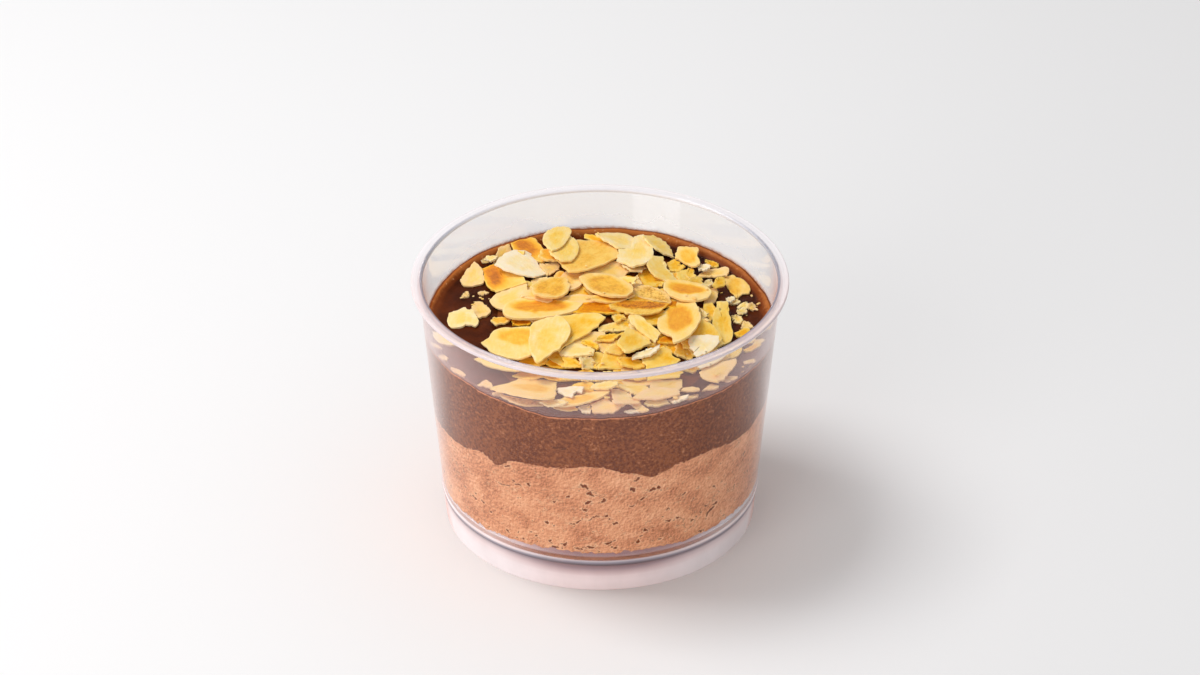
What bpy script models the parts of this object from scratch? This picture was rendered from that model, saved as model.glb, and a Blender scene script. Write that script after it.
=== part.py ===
"""A clear tapered cup of two chocolate layers under a heap of flaked almonds.

The cup's base centre is the origin and its axis is +Z. Sizes are in millimetres and become
metres where a mesh is written. Angles round the cup are degrees from the front (-Y), positive
towards +X.
"""
import math
import random
from collections import namedtuple

import bmesh
import bpy
import numpy as np

MM = 0.001
GAP = 0.32                   # clearance between neighbouring solids

# Cup
CUP_HEIGHT = 68.0
FOOT_RADIUS = 39.63          # where the wall's outer line meets the ground
WALL_FLARE = 0.0888          # outward run for each unit of height
WALL = 1.0
RIM_RADIUS = 47.5
RIM_THICKNESS = 0.95
RIM_ROUNDING = 0.4
FLOOR_TOP = 9.5
FLOOR_THICKNESS = 1.5
FLOOR_CORNER = 2.8
SKIRT_WALL = 1.2
SKIRT_CORNER = 0.7
FOOT_ROUNDING = 0.4
CUP_SEGMENTS = 72

# Layers
LAYER_SEGMENTS = 60
MOUSSE_EDGE_LOW = 10.6       # lower edge of the mousse on the wall, left side
MOUSSE_EDGE_SLOPE = 1.3      # how much higher that edge is on the right
SEAM_MEAN = 35.2             # seam between the layers
SEAM_SLOPE = 1.9             # half its rise from left to right
CREAM_LEVEL = 55.0
CREAM_REACH = FOOT_RADIUS + WALL_FLARE * CREAM_LEVEL - WALL - GAP
CREAM_FRONT_DIP = 0.9
CREAM_UNEVENNESS = 0.22
FILM_RISE = 2.0              # cream drawn up the wall at the back
FILM_WIDTH = 1.3
POCKET = (-12.0, -41.0)      # hollow in the cream at the front wall
POCKET_DEPTH = 1.1
POCKET_RADIUS = 5.0

# Swells of the seam round the wall: angle, height, half-width in degrees
Swell = namedtuple("Swell", "angle height spread")
SEAM_SWELLS = (
    Swell(-44, 1.6, 6), Swell(-4, 3.9, 13), Swell(38, 1.2, 14), Swell(-80, -1.0, 16),
    Swell(105, 1.5, 20), Swell(150, -1.6, 18), Swell(-160, 1.8, 15), Swell(-118, -0.9, 14),
)

# Almonds
FLAKE_THICKNESS = 1.25
FLAKE_SINK = 0.5             # how far a flake is pressed into what carries it
FLAKE_SIDES = 12
STEEPEST = 0.65
FINEST_SLOPE = 0.01
GRID_STEP = 0.6
SIGHT_PLANE = 58.0           # the plane on which the places below were read
SIGHT_FALL = 1.635           # run of the sight line for each unit of fall
BED_REACH = 44.0             # half the side of the square on which flakes are laid
HEAP_CENTRE = (1.0, -1.0)
HEAP_HALF_WIDTH = 28.5
HEAP_HALF_DEPTH = 40.5
HEAP_EDGE = 0.5              # core's height over the cream at its edge
HEAP_RISE = 1.9              # how much higher the core is at its middle
CORE_SEGMENTS = 40
CORE_RINGS = (0.3, 0.6, 0.8, 0.9, 1.0)
UNDER_FLAKES = 16
UNDER_FLAKE_LENGTH = (9.0, 13.0)
GOLDEN_ANGLE = math.radians(137.508)

# Outline of a flake: how the whole one narrows to its tip, where it is broken off, as a share
# of the whole one's half-length from its middle, and how ragged it is
Form = namedtuple("Form", "taper break_at ragged")
LENS = Form(0.26, 1.0, 0.03)
OVAL = Form(0.06, 1.0, 0.04)
HALF = Form(0.16, 0.45, 0.07)
CHIP = Form(0.30, 0.70, 0.16)

# A flake where the sight plane shows it: place, turn in degrees, length, width, form
Flake = namedtuple("Flake", "x y turn length width form")
LOWER_FLAKES = (
    Flake(-16.6, 30.4, -65, 12, 8, HALF), Flake(-22.3, 16.6, -50, 10, 6, HALF),
    Flake(-27.3, 16.0, -75, 13, 6, LENS),
    Flake(-22.6, 7.6, 40, 13, 9, LENS), Flake(-7.3, 14.8, 80, 9, 6, HALF),
    Flake(-12.6, 21.6, -80, 8, 5, CHIP), Flake(-1.0, 1.0, 10, 11, 6, HALF),
    Flake(-11.0, 6.5, 5, 13, 5, LENS), Flake(0.0, 6.0, 3, 17, 6, LENS),
    Flake(13.5, 17.3, -60, 12, 5, LENS), Flake(19.5, 22.2, -60, 7, 6, CHIP),
    Flake(22.0, 18.6, 70, 9, 5, HALF), Flake(3.1, 20.4, 20, 14, 10, HALF),
    Flake(28.0, 8.5, -40, 9, 5, HALF), Flake(27.8, -0.2, 70, 10, 4.5, HALF),
    Flake(31.0, -4.0, 87, 19, 5, LENS), Flake(26.8, -9.6, -65, 16, 9, LENS),
    Flake(-5.4, -7.1, 50, 16, 8, HALF), Flake(4.0, -7.1, 15, 9, 5, HALF),
    Flake(5.9, -2.8, 20, 5, 3.5, CHIP), Flake(2.6, -12.1, 0, 7, 4, CHIP),
    Flake(2.9, -22.0, 80, 13, 5.5, HALF), Flake(-2.5, -15.5, -50, 7, 4, CHIP),
    Flake(-6.0, -18.4, 10, 7, 4.5, CHIP), Flake(-6.5, -22.5, -20, 6, 4.5, CHIP),
    Flake(-2.9, -25.0, 60, 6, 4, CHIP), Flake(20.0, -19.5, -65, 10, 4, HALF),
    Flake(2.5, -44.6, 5, 9, 5, HALF), Flake(9.4, -44.1, -50, 6, 3, CHIP),
    Flake(13.3, -41.6, -15, 6, 4, CHIP), Flake(18.9, -39.9, 25, 7, 3.5, CHIP),
    Flake(-18.3, -42.2, -20, 10, 4, LENS), Flake(5.3, -36.5, -60, 11, 6, HALF),
    Flake(9.0, -32.0, 0, 9, 5, CHIP), Flake(17.0, -29.6, 60, 9, 7, CHIP),
    Flake(-5.4, -37.7, 35, 17, 8, LENS), Flake(-7.3, -37.5, 75, 6, 3, CHIP),
)
UPPER_FLAKES = (
    Flake(-2.5, 26.8, 50, 20, 14, OVAL), Flake(-10.0, 31.3, 98, 14, 8.5, LENS),
    Flake(4.3, 35.4, -35, 12, 7, HALF), Flake(-2.2, 37.5, 60, 5, 4, CHIP),
    Flake(10.3, 29.7, 85, 17.5, 8.5, LENS), Flake(16.0, 32.2, -57, 14, 5.5, LENS),
    Flake(23.0, 27.2, 105, 10.5, 6.5, HALF), Flake(15.6, 22.0, -60, 14, 5, LENS),
    Flake(12.5, 9.7, -40, 14, 6, LENS), Flake(9.6, 2.6, 3, 16, 6.5, LENS),
    Flake(-12.3, 11.5, 20, 10, 8, OVAL), Flake(-14.4, 1.3, 10, 20.5, 8.5, LENS),
    Flake(-22.3, -14.9, 70, 16, 12, OVAL), Flake(11.2, -8.4, -62, 14, 4.5, HALF),
    Flake(8.3, -14.0, -75, 11, 8, CHIP), Flake(11.4, -19.0, 35, 9, 2.2, LENS),
    Flake(14.8, -21.9, 40, 10, 7, CHIP), Flake(28.4, -23.4, -80, 15, 9, LENS),
    Flake(-17.9, -34.6, -10, 17, 11, HALF), Flake(14.0, -35.9, 5, 12, 6, HALF),
    Flake(-6.0, -31.0, -30, 10, 6, HALF),
    Flake(1.5, 13.2, -40, 17, 8.5, LENS), Flake(22.2, 10.4, -15, 15, 8.5, OVAL),
    Flake(-19.4, 23.2, -42, 16.5, 9.5, OVAL), Flake(19.6, -4.9, 75, 19, 10, LENS),
    Flake(-12.9, -13.1, 80, 20, 9.5, LENS), Flake(25.9, -15.3, 0, 10, 8, HALF),
    Flake(-10.7, 36.9, 97, 12, 7, LENS),
)
STRAY_FLAKES = (
    Flake(-32.6, 17.9, 85, 12, 6, CHIP), Flake(34.8, 12.6, -75, 11.5, 6.5, HALF),
    Flake(-30.8, 1.0, -60, 7.5, 5, CHIP), Flake(-35.4, -3.4, 30, 9, 7.5, CHIP),
    Flake(29.0, 23.8, -40, 4.5, 3.2, CHIP), Flake(29.6, 19.4, 15, 8, 3.5, HALF),
    Flake(-29.4, 26.2, 50, 4, 2.8, CHIP), Flake(-25.2, 30.4, 60, 8, 4, HALF),
    Flake(36.0, -4.0, 30, 4, 3.6, CHIP),
    Flake(38.0, -8.2, -60, 6, 3.2, CHIP), Flake(36.6, 2.9, 60, 4.2, 2.4, CHIP),
    Flake(-37.9, -19.3, 75, 4.5, 2.4, CHIP), Flake(-34.4, -27.2, -60, 5.5, 2.4, CHIP),
    Flake(-28.3, -31.0, 80, 6, 4, CHIP), Flake(36.0, -20.2, -40, 4, 3, CHIP),
    Flake(27.3, -33.7, 40, 5, 3.4, CHIP), Flake(-33.8, 7.3, 75, 3.6, 2.4, CHIP),
)

# Colour, roughness, metallic, clearness of each solid
Finish = namedtuple("Finish", "colour roughness metallic clearness")
CLEAR_PLASTIC = Finish((0.93, 0.92, 0.92), 0.06, 0.0, 0.9)
MOUSSE_FINISH = Finish((0.60, 0.33, 0.20), 0.60, 0.0, 0.0)
CREAM_FINISH = Finish((0.16, 0.06, 0.03), 0.35, 0.0, 0.0)
ALMOND_FINISH = Finish((0.86, 0.62, 0.28), 0.55, 0.0, 0.0)


def clear_scene():
    """Remove whatever the file holds."""
    for item in list(bpy.data.objects):
        bpy.data.objects.remove(item, do_unlink=True)


def dress(item, finish):
    """Give a solid its own material."""
    material = bpy.data.materials.new(item.name + "_finish")
    material.use_nodes = True
    shader = material.node_tree.nodes["Principled BSDF"]
    shader.inputs["Base Color"].default_value = (*finish.colour, 1.0)
    shader.inputs["Roughness"].default_value = finish.roughness
    shader.inputs["Metallic"].default_value = finish.metallic
    shader.inputs["Transmission Weight"].default_value = finish.clearness
    item.data.materials.clear()
    item.data.materials.append(material)


def new_object(name, points, faces):
    """Object with a closed mesh, from points in millimetres."""
    mesh = bpy.data.meshes.new(name)
    mesh.from_pydata([tuple(MM * value for value in point) for point in points], [], faces)
    item = bpy.data.objects.new(name, mesh)
    bpy.context.scene.collection.objects.link(item)
    shape = bmesh.new()
    shape.from_mesh(mesh)
    bmesh.ops.recalc_face_normals(shape, faces=shape.faces)
    shape.to_mesh(mesh)
    shape.free()
    return item


def smooth(item, sharp_degrees):
    """Shade a round piece smooth but for its edges."""
    item.data.shade_smooth()
    item.data.set_sharp_from_angle(angle=math.radians(sharp_degrees))


def outer_wall(z):
    """Outer radius of the cup's wall at a height."""
    return FOOT_RADIUS + WALL_FLARE * z


def inner_wall(z):
    """Inner radius of the cup's wall at a height."""
    return outer_wall(z) - WALL


def arc(centre, radius, start, end, steps):
    """Points of a circular arc in the profile plane, angles in degrees."""
    turns = [math.radians(start + (end - start) * step / steps) for step in range(steps + 1)]
    return [(centre[0] + radius * math.cos(turn), centre[1] + radius * math.sin(turn)) for turn in turns]


def cup_profile():
    """Closed section of the cup, from the middle of its underside round to the middle of its floor."""
    underside = FLOOR_TOP - FLOOR_THICKNESS
    skirt_inside = FOOT_RADIUS - SKIRT_WALL
    skirt_top = outer_wall(underside) - SKIRT_WALL
    rim_under = CUP_HEIGHT - RIM_THICKNESS
    rim_wall = outer_wall(rim_under)
    corner = (inner_wall(FLOOR_TOP + FLOOR_CORNER) - FLOOR_CORNER, FLOOR_TOP + FLOOR_CORNER)
    profile = [(0.0, underside)]
    profile += arc((skirt_top - SKIRT_CORNER, underside - SKIRT_CORNER), SKIRT_CORNER, 90, 0, 2)
    profile += [(skirt_inside, 0.0)]
    profile += arc((FOOT_RADIUS - FOOT_ROUNDING, FOOT_ROUNDING), FOOT_ROUNDING, -90, 0, 2)
    profile += [(rim_wall - 0.04, rim_under - 0.45), (rim_wall + 0.3, rim_under)]
    profile += arc((RIM_RADIUS - RIM_ROUNDING, rim_under + RIM_ROUNDING), RIM_ROUNDING, -90, 0, 2)
    profile += arc((RIM_RADIUS - RIM_ROUNDING, CUP_HEIGHT - RIM_ROUNDING), RIM_ROUNDING, 0, 90, 2)
    profile += arc((rim_wall + 0.1, CUP_HEIGHT - 1.1), 1.1, 90, 180, 3)
    profile += arc(corner, FLOOR_CORNER, 0, -90, 4)
    profile += [(0.0, FLOOR_TOP)]
    return profile


def ringed_solid(name, start, rings, end):
    """Closed solid through rings of equally many points, with a middle point at each end."""
    points = [start, end]
    for ring in rings:
        points += ring
    count = len(rings[0])
    last = 2 + (len(rings) - 1) * count
    faces = []
    for step in range(count):
        after = (step + 1) % count
        faces.append((0, 2 + after, 2 + step))
        faces.append((1, last + step, last + after))
        for low in range(2, last, count):
            high = low + count
            faces.append((low + step, low + after, high + after, high + step))
    return new_object(name, points, faces)


def turned_solid(name, profile, segments):
    """Solid turned round the Z axis from a section that starts and ends on it."""
    rings = []
    for radius, height in profile[1:-1]:
        turns = [math.tau * step / segments for step in range(segments)]
        rings.append([(radius * math.cos(turn), radius * math.sin(turn), height) for turn in turns])
    start, end = (0.0, 0.0, profile[0][1]), (0.0, 0.0, profile[-1][1])
    return ringed_solid(name, start, rings, end)


def layer_solid(name, floor_at, top_at, floor_rings, top_rings):
    """Layer that fills the cup: its under side and top follow two height functions.

    Both functions take an angle in degrees and a share of the wall's radius.
    """
    rings = []
    for height_at, shares in ((floor_at, floor_rings), (top_at, reversed(top_rings))):
        for share in shares:
            ring = []
            for step in range(LAYER_SEGMENTS):
                angle = 360.0 * step / LAYER_SEGMENTS
                height = height_at(angle, share)
                radius = share * (inner_wall(height) - GAP)
                turn = math.radians(angle)
                ring.append((radius * math.sin(turn), -radius * math.cos(turn), height))
            rings.append(ring)
    start, end = (0.0, 0.0, floor_at(0.0, 0.0)), (0.0, 0.0, top_at(0.0, 0.0))
    return ringed_solid(name, start, rings, end)


def bump(offset, spread):
    """Bell curve, one at no offset."""
    return math.exp(-(offset / spread) ** 2)


def angle_between(first, second):
    """Difference of two angles, from -180 to 180 degrees."""
    return (first - second + 180.0) % 360.0 - 180.0


def mousse_floor(angle, share):
    """Under side of the mousse: flat on the cup's floor, lifted and ragged at the wall."""
    turn = math.radians(angle)
    ragged = 0.35 * math.sin(7 * turn + 0.6) * math.sin(3 * turn)
    edge = MOUSSE_EDGE_LOW + MOUSSE_EDGE_SLOPE * (1 + math.sin(turn)) / 2 + ragged
    lift = max(0.0, (share - 0.9) / 0.1) ** 2
    return FLOOR_TOP + GAP + (edge + FLOOR_CORNER / 2 - FLOOR_TOP) * lift


def seam_height(angle, share):
    """Seam between the mousse and the cream, wavy at the wall and calm inside."""
    wall = SEAM_MEAN + SEAM_SLOPE * math.sin(math.radians(angle))
    wall += sum(swell.height * bump(angle_between(angle, swell.angle), swell.spread) for swell in SEAM_SWELLS)
    return SEAM_MEAN + (wall - SEAM_MEAN) * share ** 2


def cream_floor(angle, share):
    """Under side of the cream, just clear of the mousse."""
    return seam_height(angle, share) + GAP


def cream_level(x, y):
    """Top of the cream, for single places or arrays of them.

    The cream leaves a film on the wall, which is highest at the back.
    """
    unevenness = np.sin(0.17 * x + 0.8) * np.cos(0.21 * y - 0.5) + 0.5 * np.sin(0.4 * x - 0.3 * y)
    front = np.maximum(0.0, -y / CREAM_REACH) ** 3
    pocket = np.exp(-((x - POCKET[0]) ** 2 + (y - POCKET[1]) ** 2) / POCKET_RADIUS ** 2)
    level = CREAM_LEVEL + CREAM_UNEVENNESS * unevenness - CREAM_FRONT_DIP * front - POCKET_DEPTH * pocket
    from_wall = np.maximum(0.0, CREAM_REACH - np.hypot(x, y))
    film = FILM_RISE * (0.5 + 0.5 * y / CREAM_REACH) + 0.15 * np.sin(5 * np.arctan2(x, -y))
    return level + np.maximum(0.0, film) * np.exp(-(from_wall / FILM_WIDTH) ** 2)


def cream_top(angle, share):
    """Top of the cream at an angle and a share of its reach."""
    turn = math.radians(angle)
    reach = share * CREAM_REACH
    return float(cream_level(reach * math.sin(turn), -reach * math.cos(turn)))


class Bed:
    """Heights of all that has been laid, on a square grid over the cream."""

    def __init__(self):
        reach = np.arange(-BED_REACH, BED_REACH + GRID_STEP, GRID_STEP)
        self.x, self.y = np.meshgrid(reach, reach)
        self.height = cream_level(self.x, self.y)

    def lay(self, flake):
        """Drop a flake where it was seen: it tips until it lies on the bed.

        Returns its middle and its slopes along X and Y.
        """
        y = flake.y
        for _ in range(4):
            covered = covers(flake, self.x - flake.x, self.y - y)
            run_x, run_y = self.x[covered] - flake.x, self.y[covered] - y
            slopes, level = resting_plane(run_x, run_y, self.height[covered])
            y = flake.y + (SIGHT_PLANE - level) * SIGHT_FALL
        self.height[covered] = level + slopes[0] * run_x + slopes[1] * run_y + FLAKE_THICKNESS - FLAKE_SINK
        return (flake.x, y, level - FLAKE_SINK), slopes


def on_whole_flake(along, form):
    """Where a place along a broken flake, from -1 to 1, lies on the whole one."""
    return (along * (1 + form.break_at) - (1 - form.break_at)) / 2


def on_broken_flake(along, form):
    """Where a place along a whole flake, from -1 to its break, lies on the piece that is left."""
    return (2 * along + (1 - form.break_at)) / (1 + form.break_at)


def covers(flake, run_x, run_y):
    """Which places, given from the flake's middle, lie under its outline."""
    turn = math.radians(flake.turn)
    along = (run_x * math.cos(turn) + run_y * math.sin(turn)) / (flake.length / 2)
    across = (run_y * math.cos(turn) - run_x * math.sin(turn)) / (flake.width / 2)
    whole = on_whole_flake(along, flake.form)
    width = np.sqrt(np.clip(1 - whole ** 2, 0, 1)) * (1 - flake.form.taper * whole)
    return (np.abs(across) <= width) & (np.abs(along) <= 1)


def resting_plane(run_x, run_y, height):
    """Slopes of the lowest plane over the bed, and its height at the flake's middle."""
    slopes, stride = np.zeros(2), STEEPEST / 2
    tries = np.array([(a, b) for a in (0, -1, 1) for b in (0, -1, 1)])
    while stride > FINEST_SLOPE:
        trial = np.clip(slopes + stride * tries, -STEEPEST, STEEPEST)
        levels = np.max(height - trial[:, :1] * run_x - trial[:, 1:] * run_y, axis=1)
        best = int(np.argmin(levels))
        if best == 0:
            stride /= 2
        slopes, level = trial[best], float(levels[best])
    return slopes, level


def flake_outline(form, draw):
    """Outline of a flake of unit half-length and half-width, along and across."""
    outline = []
    for side in range(FLAKE_SIDES):
        turn = math.tau * (side + 0.5) / FLAKE_SIDES
        size = 1 - form.ragged * draw.random()
        along = min(math.cos(turn) * size, form.break_at)
        across = math.sin(turn) * size * (1 - form.taper * math.cos(turn))
        outline.append((on_broken_flake(along, form), across))
    return outline


def held_in(point):
    """Point drawn in from the cup's wall where it would pass it."""
    x, y, z = point
    reach = inner_wall(z) - GAP - 0.35
    radius = math.hypot(x, y)
    if radius <= reach:
        return point
    return (x * reach / radius, y * reach / radius, z)


def flake_solid(flake, middle, slopes, draw):
    """Plate with the flake's outline, lying on its plane."""
    turn = math.radians(flake.turn)
    normal = np.array((-slopes[0], -slopes[1], 1.0))
    normal /= np.linalg.norm(normal)
    across = np.cross(normal, (math.cos(turn), math.sin(turn), 0.0))
    across /= np.linalg.norm(across)
    along = np.cross(across, normal)
    outline = flake_outline(flake.form, draw)
    points = []
    for lift in (0.0, FLAKE_THICKNESS):
        for share_along, share_across in outline:
            point = np.array(middle) + normal * lift
            point = point + along * share_along * flake.length / 2 + across * share_across * flake.width / 2
            points.append(held_in(tuple(point)))
    sides = len(outline)
    faces = [tuple(range(sides)), tuple(range(sides, 2 * sides))]
    for side in range(sides):
        after = (side + 1) % sides
        faces.append((side, after, sides + after, sides + side))
    return new_object("flake", points, faces)


def heap_share(x, y):
    """Distance from the heap's middle as a share of its reach."""
    return np.hypot((x - HEAP_CENTRE[0]) / HEAP_HALF_WIDTH, (y - HEAP_CENTRE[1]) / HEAP_HALF_DEPTH)


def core_top(x, y):
    """Top of the heap's core."""
    dome = np.clip(1 - heap_share(x, y) ** 2, 0, 1)
    return cream_level(x, y) + GAP + HEAP_EDGE + HEAP_RISE * dome


def core_floor(x, y):
    """Under side of the heap, just clear of the cream."""
    return cream_level(x, y) + GAP


def core_solid():
    """Low mound of small pieces that carries the flakes that show."""
    rings = []
    for height_at, shares in ((core_floor, CORE_RINGS), (core_top, reversed(CORE_RINGS))):
        for share in shares:
            ring = []
            for step in range(CORE_SEGMENTS):
                turn = math.tau * step / CORE_SEGMENTS
                x = HEAP_CENTRE[0] + share * HEAP_HALF_WIDTH * math.cos(turn)
                y = HEAP_CENTRE[1] + share * HEAP_HALF_DEPTH * math.sin(turn)
                ring.append(held_in((x, y, float(height_at(x, y)))))
            rings.append(ring)
    start, end = ((*HEAP_CENTRE, float(height_at(*HEAP_CENTRE))) for height_at in (core_floor, core_top))
    return ringed_solid("almond_heap", start, rings, end)


def fuse(body, pieces):
    """Join pieces to a body as one closed solid, without scraps or sealed hollows."""
    group = bpy.data.collections.new(body.name + "_pieces")
    for piece in pieces:
        group.objects.link(piece)
    union = body.modifiers.new("fuse", "BOOLEAN")
    union.operation = "UNION"
    union.operand_type = "COLLECTION"
    union.collection = group
    union.solver = "EXACT"
    fused = bpy.data.meshes.new_from_object(body.evaluated_get(bpy.context.evaluated_depsgraph_get()))
    body.modifiers.remove(union)
    body.data = fused
    for piece in pieces:
        bpy.data.objects.remove(piece, do_unlink=True)
    bpy.data.collections.remove(group)
    keep_outer_shell(body)


def keep_outer_shell(body):
    """Keep the largest connected shell of a mesh and drop every other one."""
    shape = bmesh.new()
    shape.from_mesh(body.data)
    bmesh.ops.dissolve_degenerate(shape, edges=shape.edges, dist=1e-5)
    shells, left = [], set(shape.faces)
    while left:
        shell, front = set(), [left.pop()]
        while front:
            face = front.pop()
            shell.add(face)
            for edge in face.edges:
                for neighbour in edge.link_faces:
                    if neighbour in left:
                        left.remove(neighbour)
                        front.append(neighbour)
        shells.append(shell)
    shells.sort(key=lambda shell: sum(face.calc_area() for face in shell))
    scraps = [face for shell in shells[:-1] for face in shell]
    bmesh.ops.delete(shape, geom=scraps, context="FACES")
    shape.to_mesh(body.data)
    shape.free()


def under_flakes(draw):
    """Flakes spread evenly over the core, of which little shows."""
    flakes = []
    for index in range(UNDER_FLAKES):
        share = 0.92 * math.sqrt((index + 0.5) / UNDER_FLAKES)
        turn = index * GOLDEN_ANGLE
        length = draw.uniform(*UNDER_FLAKE_LENGTH)
        x = HEAP_CENTRE[0] + share * HEAP_HALF_WIDTH * math.cos(turn)
        y = HEAP_CENTRE[1] + share * HEAP_HALF_DEPTH * math.sin(turn)
        flakes.append(Flake(x, y, draw.uniform(0, 180), length, 0.5 * length, OVAL))
    return flakes


def build_cup():
    """Cup with its rim flange, raised floor and hollow foot."""
    cup = turned_solid("cup", cup_profile(), CUP_SEGMENTS)
    smooth(cup, 35)
    dress(cup, CLEAR_PLASTIC)


def build_mousse():
    """Lower layer of aerated chocolate mousse."""
    mousse = layer_solid("mousse", mousse_floor, seam_height, (0.5, 0.9, 0.95, 1.0), (0.5, 0.85, 1.0))
    smooth(mousse, 50)
    dress(mousse, MOUSSE_FINISH)


def build_cream(bed):
    """Upper layer of dark chocolate cream, with the flakes that lie apart fused on."""
    cream = layer_solid("chocolate_cream", cream_floor, cream_top, (0.5, 0.85, 1.0),
                        (0.2, 0.4, 0.6, 0.75, 0.87, 0.93, 0.955, 0.97, 0.985, 1.0))
    draw = random.Random(5)
    strays = []
    for flake in STRAY_FLAKES:
        middle, slopes = bed.lay(flake)
        strays.append(flake_solid(flake, middle, slopes, draw))
    fuse(cream, strays)
    smooth(cream, 40)
    dress(cream, CREAM_FINISH)


def build_heap(bed):
    """Heap of flaked almonds: a core with the flakes that show fused on."""
    lying_apart = bed.height > cream_level(bed.x, bed.y) + GAP
    bed.height += GAP + FLAKE_SINK
    bed.height[lying_apart] += GAP
    on_core = heap_share(bed.x, bed.y) <= 1.0
    bed.height[on_core] = np.maximum(bed.height, core_top(bed.x, bed.y))[on_core]
    draw = random.Random(11)
    pieces = []
    for flake in (*under_flakes(draw), *LOWER_FLAKES, *UPPER_FLAKES):
        middle, slopes = bed.lay(flake)
        pieces.append(flake_solid(flake, middle, slopes, draw))
    heap = core_solid()
    fuse(heap, pieces)
    dress(heap, ALMOND_FINISH)


def build():
    """Make every solid of the filled cup."""
    clear_scene()
    bed = Bed()
    build_cup()
    build_mousse()
    build_cream(bed)
    build_heap(bed)


build()
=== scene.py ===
"""Looks of a clear dessert cup: aerated mousse, chocolate cream and a heap of flaked almonds.

Sizes are in millimetres and become metres where a mesh is written. The middle of the cup's base is
the origin, its axis is +Z and its front is -Y. Angles round the cup are degrees from the front,
positive towards +X.
"""

import logging
import math
import random
from dataclasses import dataclass
from enum import Enum
from typing import Any

import bpy
import numpy as np
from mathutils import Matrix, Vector


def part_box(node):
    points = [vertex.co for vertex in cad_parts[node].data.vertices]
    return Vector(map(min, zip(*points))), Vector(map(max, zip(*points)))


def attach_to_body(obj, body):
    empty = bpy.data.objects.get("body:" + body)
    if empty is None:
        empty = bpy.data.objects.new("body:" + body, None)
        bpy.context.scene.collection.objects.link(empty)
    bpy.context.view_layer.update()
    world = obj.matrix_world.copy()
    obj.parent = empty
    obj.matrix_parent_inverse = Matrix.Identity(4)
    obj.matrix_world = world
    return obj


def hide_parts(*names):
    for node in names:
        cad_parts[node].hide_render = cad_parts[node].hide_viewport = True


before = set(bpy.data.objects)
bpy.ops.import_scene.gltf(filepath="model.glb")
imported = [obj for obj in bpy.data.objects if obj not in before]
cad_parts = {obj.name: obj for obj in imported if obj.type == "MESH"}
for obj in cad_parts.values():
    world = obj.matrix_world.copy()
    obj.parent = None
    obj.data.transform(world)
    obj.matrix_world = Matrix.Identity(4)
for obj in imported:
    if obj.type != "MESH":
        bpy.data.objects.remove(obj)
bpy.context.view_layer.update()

MM = 0.001
STRAY_SEED = 300
BODY = "root"
LOG = logging.getLogger("dessert_cup")

Socket = bpy.types.NodeSocket
Piece = bpy.types.Object
Array = np.ndarray


# ---------------- maths


def srgb(red: float, green: float, blue: float) -> tuple[float, float, float, float]:
    """Linear colour of a shade given as 0 to 255.

    Args:
        red: Red, from 0 to 255.
        green: Green, from 0 to 255.
        blue: Blue, from 0 to 255.

    Returns:
        Linear red, green, blue and an alpha of one.
    """
    shades = [value / 255 for value in (red, green, blue)]
    linear = [v / 12.92 if v <= 0.04045 else ((v + 0.055) / 1.055) ** 2.4 for v in shades]
    return (*linear, 1.0)


def bell(offset: Any, spread: float) -> Any:
    """Bell curve, one at no offset."""
    return np.exp(-(offset / spread) ** 2)


def angle_between(first: Any, second: Any) -> Any:
    """Difference of two angles, from -180 to 180 degrees."""
    return (first - second + 180.0) % 360.0 - 180.0


def eased(value: Any, low: float, high: float) -> Any:
    """Soft step from nought at low to one at high."""
    share = np.clip((value - low) / (high - low), 0.0, 1.0)
    return share * share * (3 - 2 * share)


def between(share: Any, first: Any, second: Any) -> Any:
    """Value that goes from the first to the second as the share goes from nought to one."""
    return first * (1 - share) + second * share


class Unevenness:
    """Smooth random waves that close on themselves after a full turn round the cup."""

    def __init__(self, seed: int, turns: float, rise: float, count: int = 28) -> None:
        """Draw the waves.

        Args:
            seed: Seed of the draw.
            turns: Most waves round the cup.
            rise: Most radians of a wave for each millimetre of height.
            count: How many waves are added up.
        """
        draw = np.random.default_rng(seed)
        self.turns = np.round(draw.uniform(-turns, turns, count))
        self.rises = draw.uniform(-rise, rise, count)
        self.phases = draw.uniform(0, math.tau, count)

    def at(self, angle: Array, height: Any) -> Array:
        """Waves at places round the cup.

        Args:
            angle: Angles in degrees.
            height: Heights, a number or an array of the same shape.

        Returns:
            Values spread about nought, mostly between -1 and 1.
        """
        turn = np.radians(angle)
        total = np.zeros(np.broadcast(turn, height).shape)
        for turns, rise, phase in zip(self.turns, self.rises, self.phases):
            total += np.cos(turns * turn + rise * height + phase)
        return total / math.sqrt(len(self.turns))


# ---------------- meshes


def ring_faces(sides: int, rings: int) -> list[list[int]]:
    """Faces of a closed body: point 0, then rings of points, then point 1.

    Args:
        sides: Points of each ring.
        rings: How many rings there are.

    Returns:
        Each face's points, the first ring starting at point 2.
    """
    step = np.arange(sides)
    after = (step + 1) % sides
    last = 2 + (rings - 1) * sides
    start = np.stack([np.zeros(sides, int), 2 + after, 2 + step], axis=1)
    end = np.stack([np.ones(sides, int), last + step, last + after], axis=1)
    low = 2 + np.arange(rings - 1)[:, None] * sides
    quads = np.stack([low + step, low + after, low + sides + after, low + sides + step], axis=-1)
    return start.tolist() + end.tolist() + quads.reshape(-1, 4).tolist()


def signed_volume(points: Array, faces: list[list[int]]) -> float:
    """Volume inside a closed body, negative where its faces point inwards.

    Args:
        points: Corner places.
        faces: Corners of each face.

    Returns:
        The volume, in cubic units of the points.
    """
    fans = [(face[0], face[k], face[k + 1]) for face in faces for k in range(1, len(face) - 1)]
    a, b, c = (points[np.array(fans)[:, corner]] for corner in range(3))
    return float(np.einsum("ij,ij->i", a, np.cross(b, c)).sum() / 6)


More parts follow.
